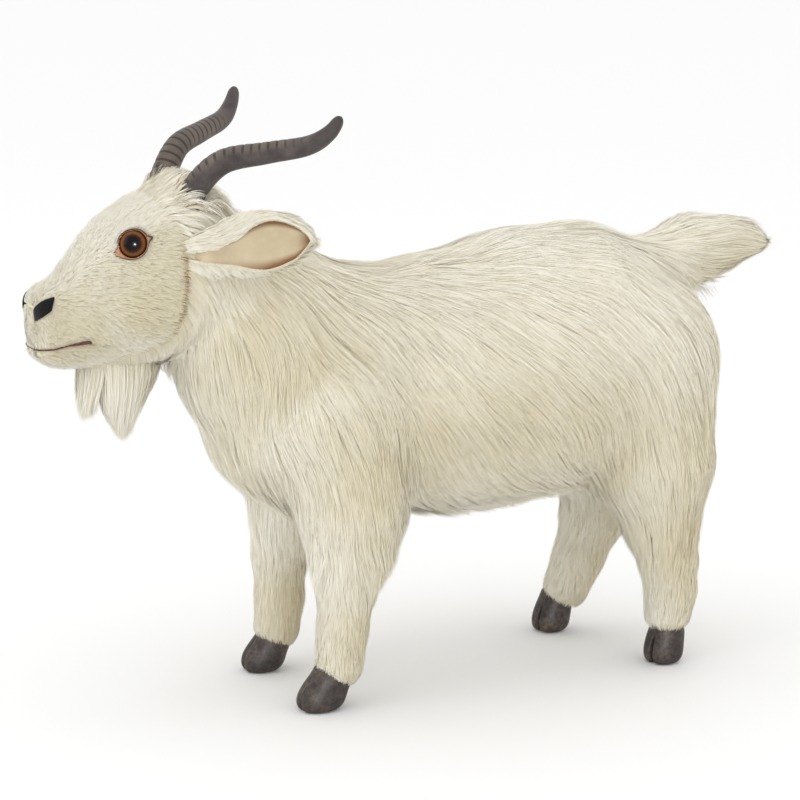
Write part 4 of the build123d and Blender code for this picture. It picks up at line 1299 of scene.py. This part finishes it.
def add_fur(base, sel, r, mat=FUR, limit=185000, Pm=None, twist=0.18):
    Pm = P if Pm is None else Pm
    k = Pm.shape[1]
    per = 2 * (k - 2) + 1
    ids = np.flatnonzero(sel)
    parts = max(1, math.ceil(len(ids) * per / limit))
    # split in bands along the body so that each piece is one patch of coat
    order = ids[np.argsort(roots[ids, 1] + (0 if r < 3 else 0))]
    for j, chunk in enumerate(np.array_split(order, parts)):
        o = strand_object(f"{base}_{j + 1}" if parts > 1 else base, Pm[chunk], W[chunk], tint[chunk], N[chunk], mat, twist)
        bind(o, r)


for r in range(7):
    add_fur(NAMES[r] + "_fur", rr == r, r)
print("strands", n)

# ------------------------------------------------------------------ short pile of the face
def seam(p):
    """How far in front of the jaw seam and the forehead line a point lies, in mm."""
    y, z = p[:, 1], p[:, 2]
    zj = np.interp(y, [-262, -240, -232, -215, -200, -190, -184, -178], [214, 221, 226, 231, 237, 242, 247, 256])
    yj = np.interp(z, [236, 247, 262, 275, 290, 307, 318, 330, 345], [-190, -184, -180, -178, -177.5, -178, -184, -194, -206])
    return np.minimum(z - zj, yj - y)


def comb_face(p):
    n = HEAD.normal(p)
    s = np.sign(p[:, 0:1])
    d = np.zeros_like(p)
    d[:, 1] = 1.0
    d[:, 2] = 0.12 - 0.45 * (1 - smoothstep(0.1, 0.7, n[:, 2]))
    f = smoothstep(0.72, 0.95, -n[:, 1])[:, None]
    front = np.concatenate([0.45 * s, np.full((len(p), 1), 0.1), np.where(p[:, 2:3] > 263, 0.7, -1.0)], 1)
    return unit(d * (1 - f) + front * f + noise_vec(p * 1.6) * 0.25)


def absx(p):
    q = p.copy()
    q[:, 0] = np.abs(q[:, 0])
    return q


def near_curve(p, c):
    out = np.full(len(p), 99.0)
    for a in range(0, len(p), 20000):
        out[a:a + 20000] = np.sqrt(((p[a:a + 20000, None] - c[None]) ** 2).sum(-1)).min(1)
    return out


def fur_piece(name, P, W, U, N, mat, body, limit=185000, twist=0.18):
    k = P.shape[1]
    per = 2 * (k - 2) + 1
    parts = max(1, math.ceil(len(P) * per / limit))
    order = np.argsort(P[:, 0, 1])
    for j, c in enumerate(np.array_split(order, parts)):
        o = strand_object(f"{name}_{j + 1}" if parts > 1 else name, P[c], W[c], U[c], N[c], mat, twist)
        if callable(body):
            body(o)
        else:
            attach(o, body)


hr = sample_surface(hv, hq, 2.7 * THIN)
sm = seam(hr)
buried = BODY.dist(hr) < -3.5
ah = absx(hr)
alm_uv = eye_uv(on_head(ALM, 0))
in_eye = inside(alm_uv * 1.07, eye_uv(ah)) & (np.abs((ah - EYE_C) @ EYE_N) < 12)
nos_ax = np.stack([NA, NB])
in_nos = inside((NOS - NOS_C) @ nos_ax.T * 1.04, (ah - NOS_C) @ nos_ax.T) & (np.linalg.norm(ah - NOS_C, axis=1) < 16)
face = (sm > 0) & ~in_eye & ~in_nos
q = hr[face]
aq = ah[face]
n = len(q)
d_eye, d_nos, d_mouth = near_curve(aq, ALM), near_curve(aq, edge), near_curve(aq, half)
keep = (d_mouth > 1.5)
q, aq, d_eye, d_nos, d_mouth = q[keep], aq[keep], d_eye[keep], d_nos[keep], d_mouth[keep]
n = len(q)
sq = sm[face][keep]
Lf = 6.4 - 2.6 * smoothstep(-236, -252, q[:, 1])
Lf = np.minimum(Lf, 1.6 + 0.75 * d_eye)
Lf = np.minimum(Lf, 1.7 + 0.6 * d_nos)
Lf = np.minimum(Lf, 1.3 + 0.55 * d_mouth)
Lf = Lf * rng.normal(1, 0.13, n).clip(0.6, 1.4)
Pf, Nf = grow(HEAD, q, Lf, 4, np.full(n, 1.25), np.minimum(2.6, Lf * 0.5), np.zeros(n), comb_face, 0.0)
Pf = clump(Pf, Nf, np.flatnonzero(rng.random(n) < 1 / (30.0 * THIN)), 0.06, 1.2)
# Plush facing sideways gets a lower tint: painted shade on the sides of the face.
Uf = 0.84 - 0.20 * smoothstep(0.55, 0.95, np.abs(HEAD.normal(q)[:, 0])) + 0.05 * np.sin(q @ _WAVES[:5].T * 1.2 + _PHASE[:5]).sum(1) / 2.0 + rng.normal(0, 0.03, n)
low_seam = smoothstep(306, 296, q[:, 2])
Uf -= (0.44 * np.exp(-(sq / 1.3) ** 2) + 0.07 * np.exp(-(sq / 4.0) ** 2)) * low_seam
md = np.abs(aq[:, 1] + 229)
Uf -= (0.42 * np.exp(-(d_mouth / 1.7) ** 2) + 0.10 * np.exp(-(d_mouth / 4.5) ** 2)) * (0.55 + 0.45 * np.exp(-(md / 7) ** 2) + 0.3 * np.exp(-((aq[:, 1] + 257) / 5) ** 2))
# Darker next to the eye rim and at the cheek centre; the spot in the hollow in front of the eye is painted shade.
Uf -= 0.20 * np.exp(-(d_eye / 1.3) ** 2) + 0.06 * np.exp(-(((aq - np.array((42, -205, 266))) ** 2).sum(1)) / 500.0) + 0.06 * np.exp(-(((aq - np.array((30, -221, 290))) ** 2).sum(1)) / 90.0)
Uf -= 0.06 * np.exp(-(((aq - np.array((12, -255, 252))) ** 2).sum(1)) / 60.0)
Uf = Uf.clip(0.05, 0.98)
Wf = 0.29 * rng.normal(1, 0.15, n).clip(0.6, 1.5) / math.sqrt(THIN)
fur_piece("face_plush", Pf, Wf, Uf, Nf, PLUSH, "head")

# ------------------------------------------------------------------ crown, cheeks and nape of the head
HC = curve_pts([p for p, r in HORN], 60)


def comb_head(p):
    d = comb(p, 15.0)
    a = absx(p)
    dh = np.linalg.norm(a[:, :2] - np.array((25.5, -160.0)), axis=1)
    k = (0.75 * np.exp(-(np.maximum(dh - 9, 0) / 6.0) ** 2) * (p[:, 2] > 305))[:, None]
    hd_ = np.stack([np.sign(p[:, 0]) * 0.25, np.full(len(p), 0.35), np.full(len(p), 1.0)], 1)
    return unit(d * (1 - k) + hd_ * k)


dh = near_curve(ah, HC)
crown = (sm <= 0) & ~buried & (dh > 8.2) & (rng.random(len(hr)) < np.where(hr[:, 2] < 262, 0.75, 0.5))
q = hr[crown]
n = len(q)
back = -sm[crown]
top = smoothstep(296, 312, q[:, 2])
Lc = (15 + 21 * smoothstep(0, 30, back)) * top + (26 + 10 * smoothstep(0, 14, back)) * (1 - top)
dhq = dh[crown]
Lc = np.where(dhq < 15, np.minimum(Lc, 19 + 0.6 * (dhq - 8)), Lc)
Lc = Lc * rng.normal(1, 0.15, n).clip(0.55, 1.45)
hc = 2.5 + 4.5 * smoothstep(0, 28, back)
lc = 0.9 + 0.9 * np.exp(-(np.maximum(dhq - 9, 0) / 5.0) ** 2)
tuft = np.exp(-(np.maximum(dhq - 9, 0) / 4.0) ** 2) * (q[:, 2] > 300)
hc = hc + 9.0 * tuft
Pc, Nc = grow(WHOLE, q, Lc, 6, lc, hc, (0.10 + 0.12 * (1 - top)) * (1 - tuft), comb_head, 0.9, pull=1 - tuft)
Pc = clump(Pc, Nc, np.flatnonzero(rng.random(n) < 1 / (110.0 * THIN)), 0.34, 1.2)
Pc = clump(Pc, Nc, np.flatnonzero(rng.random(n) < 1 / (22.0 * THIN)), 0.52, 1.2)
Uc = 0.86 - 0.20 * (1 - top) * smoothstep(228, 262, q[:, 2]) + 0.05 * np.sin(q @ _WAVES[:5].T + _PHASE[:5]).sum(1) / 2.0 + rng.normal(0, 0.06, n)
Uc -= (0.14 * np.exp(-(back / 1.3) ** 2) + 0.04 * np.exp(-(back / 6.0) ** 2)) * (1 - top)
wisp = (dhq < 12.5) & (q[:, 1] < -160) & (rng.random(n) < 0.16)
Uc[wisp] = rng.uniform(0.03, 0.2, wisp.sum())
Wc = 0.42 * rng.normal(1, 0.16, n).clip(0.6, 1.5) / math.sqrt(THIN)
fur_piece("crown_fur", Pc, Wc, Uc.clip(0.02, 0.98), Nc, FUR, "head")

# ------------------------------------------------------------------ beard
BACKING_MAT, _bt, _bb = new_mat("beard_backing")
_bn = noise_tex(_bt, 300, 3)
_bt.links.new(ramp_node(_bt, [(0.3, (222, 214, 192)), (0.7, (240, 234, 216))], _bn.outputs["Fac"]).outputs["Color"], _bb.inputs["Base Color"])
_bb.inputs["Roughness"].default_value = 0.9
nb_ = int(9500 * THIN)
bx, by = rng.normal(0, 1, nb_), rng.normal(0, 1, nb_)
rad_ = np.sqrt(rng.random(nb_))
an = rng.random(nb_) * 2 * np.pi
rx = 13.5 * rad_ * np.cos(an)
ry = -203.5 + 27.5 * rad_ * np.sin(an)
front_lock = ry < -217
tipx = np.where(front_lock, 0.0, 0.0) + rx * 0.22 + rng.normal(0, 1.8, nb_)
tipy = np.where(front_lock, -224.5 + (ry + 223) * 0.30, -200.0 + (ry + 200) * 0.42) + rng.normal(0, 2.2, nb_)
edge_ = np.where(front_lock, np.abs(ry + 224) / 8.0, np.abs(ry + 200) / 22.0).clip(0, 1)
tipz = np.where(front_lock, 183 + 10 * edge_, 170 + 22 * edge_ ** 1.3) + np.abs(rng.normal(0, 8.5, nb_))
K_ = 7
ss = np.linspace(0, 1, K_)
root_z = 232.0
e_ = ss ** 2.5
Pb = np.zeros((nb_, K_, 3))
Pb[:, :, 0] = rx[:, None] * (1 - e_) + tipx[:, None] * e_ + 1.5 * np.sign(rx)[:, None] * np.sin(np.pi * ss)
Pb[:, :, 1] = ry[:, None] * (1 - e_) + tipy[:, None] * e_ + 1.2 * np.sin(ss * 5.0 + rng.random(nb_)[:, None] * 0.8)
Pb[:, :, 2] = root_z + (tipz - root_z)[:, None] * ss
Nb = np.zeros_like(Pb)
Nb[:, :, 0], Nb[:, :, 1] = (rx / 13.0)[:, None], ((ry + 203) / 25.0)[:, None]
Nb = unit(Nb + np.array((0, 0, 0.05)))
Pb = clump(Pb, Nb, np.flatnonzero(rng.random(nb_) < 1 / (220.0 * THIN)), 0.30, 1.6)
Pb = clump(Pb, Nb, np.flatnonzero(rng.random(nb_) < 1 / (40.0 * THIN)), 0.36, 1.5)
Ub = (0.88 + rng.normal(0, 0.06, nb_) - 0.10 * smoothstep(-196, -184, ry)).clip(0.3, 0.98)
Wb = 0.42 * rng.normal(1, 0.15, nb_).clip(0.6, 1.4) / math.sqrt(THIN)
fur_piece("beard_hair", Pb, Wb, Ub, Nb, FUR, "beard", twist=0.4)
th = np.linspace(0, 2 * np.pi, 28, endpoint=False)
G = []
for z, y, hx, hy in ((223.5, -203, 3, 6), (223, -203, 8, 15), (217, -203.5, 8.5, 16), (210, -204, 6.5, 12), (205, -204, 3, 6), (203.5, -204, 0.8, 1.5)):
    w = 1 + 0.05 * np.sin(3 * th + z)
    G.append(np.stack([hx * w * np.cos(th), y + hy * w * np.sin(th), np.full(28, z)], 1))
o = grid_mesh("beard_root", np.array(G), BACKING_MAT, wrap=True, caps=(True, True), uv=False, close=True)
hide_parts("beard")
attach(o, "beard")


# ------------------------------------------------------------------ ears' pile
def ear_fur(G, s, side):
    a, b, _ = G.shape
    dens = 2.1 * THIN
    p00, p10, p01, p11 = G[:-1, :-1], G[1:, :-1], G[:-1, 1:], G[1:, 1:]
    ar = 0.5 * np.linalg.norm(np.cross(p11 - p00, p01 - p10), axis=-1)
    cnt = rng.poisson(ar * dens)
    I, J = np.nonzero(cnt)
    rep_ = cnt[I, J]
    I, J = np.repeat(I, rep_), np.repeat(J, rep_)
    fu, fv = rng.random(len(I))[:, None], rng.random(len(I))[:, None]
    R = (p00[I, J] * (1 - fu) + p10[I, J] * fu) * (1 - fv) + (p01[I, J] * (1 - fu) + p11[I, J] * fu) * fv
    al = unit(p10[I, J] - p00[I, J])
    ac = unit(p01[I, J] - p00[I, J])
    nn = unit(np.cross(al, ac))
    mid = G.mean(1)[I]
    nn *= np.sign(((R - mid) * nn).sum(1, keepdims=True) + 1e-6)
    t = (J + fv[:, 0]) / (b - 1)
    u = EAR_U[I]
    n_ = len(R)
    L_ = 6.5 + 3.5 * smoothstep(30, 0, u) + 1.5 * smoothstep(60, 78, u)
    L_ = L_ * (1 - 0.5 * smoothstep(0.88, 1.0, t)) * (1 - 0.45 * smoothstep(0.12, 0.0, t)) * rng.normal(1, 0.15, n_).clip(0.6, 1.4)
    downward = np.array((0, 0, -1.0)) * (0.35 * smoothstep(0.5, 0.1, t))[:, None]
    d = unit(al + downward + noise_vec(R * 2) * 0.4)
    k = 4
    P_ = np.zeros((n_, k, 3))
    pcur = R - nn * 0.4
    P_[:, 0] = pcur
    for i in range(1, k):
        f = i / (k - 1)
        step = unit(d + nn * (0.85 * (1 - f) ** 1.5) + np.array((0, 0, -0.10)) * f)
        pcur = pcur + step * (L_ / (k - 1))[:, None]
        P_[:, i] = pcur
    N_ = np.repeat(nn[:, None], k, 1)
    P_ = clump(P_, N_, np.flatnonzero(rng.random(n_) < 1 / (24.0 * THIN)), 0.3, 1.2)
    U_ = 0.84 + rng.normal(0, 0.05, n_)
    line = np.exp(-((t - 1.0) / 0.035) ** 2) * smoothstep(4, 16, u)
    U_ -= 0.62 * line * (rng.random(n_) < 0.8)
    U_ -= 0.40 * np.exp(-(t / 0.05) ** 2) * smoothstep(38, 62, u)
    U_ -= 0.30 * smoothstep(73, 79, u) * (rng.random(n_) < 0.5)
    W_ = 0.36 * rng.normal(1, 0.15, n_).clip(0.6, 1.4) / math.sqrt(THIN)
    fur_piece(f"{side}_ear_pile", mirror(P_, s), W_, U_.clip(0.05, 0.98), mirror(N_, s), PLUSH, f"{side}_ear")


EAR_U = eu
for side, s in (("left", 1), ("right", -1)):
    ear_fur(EAR_C, s, side)
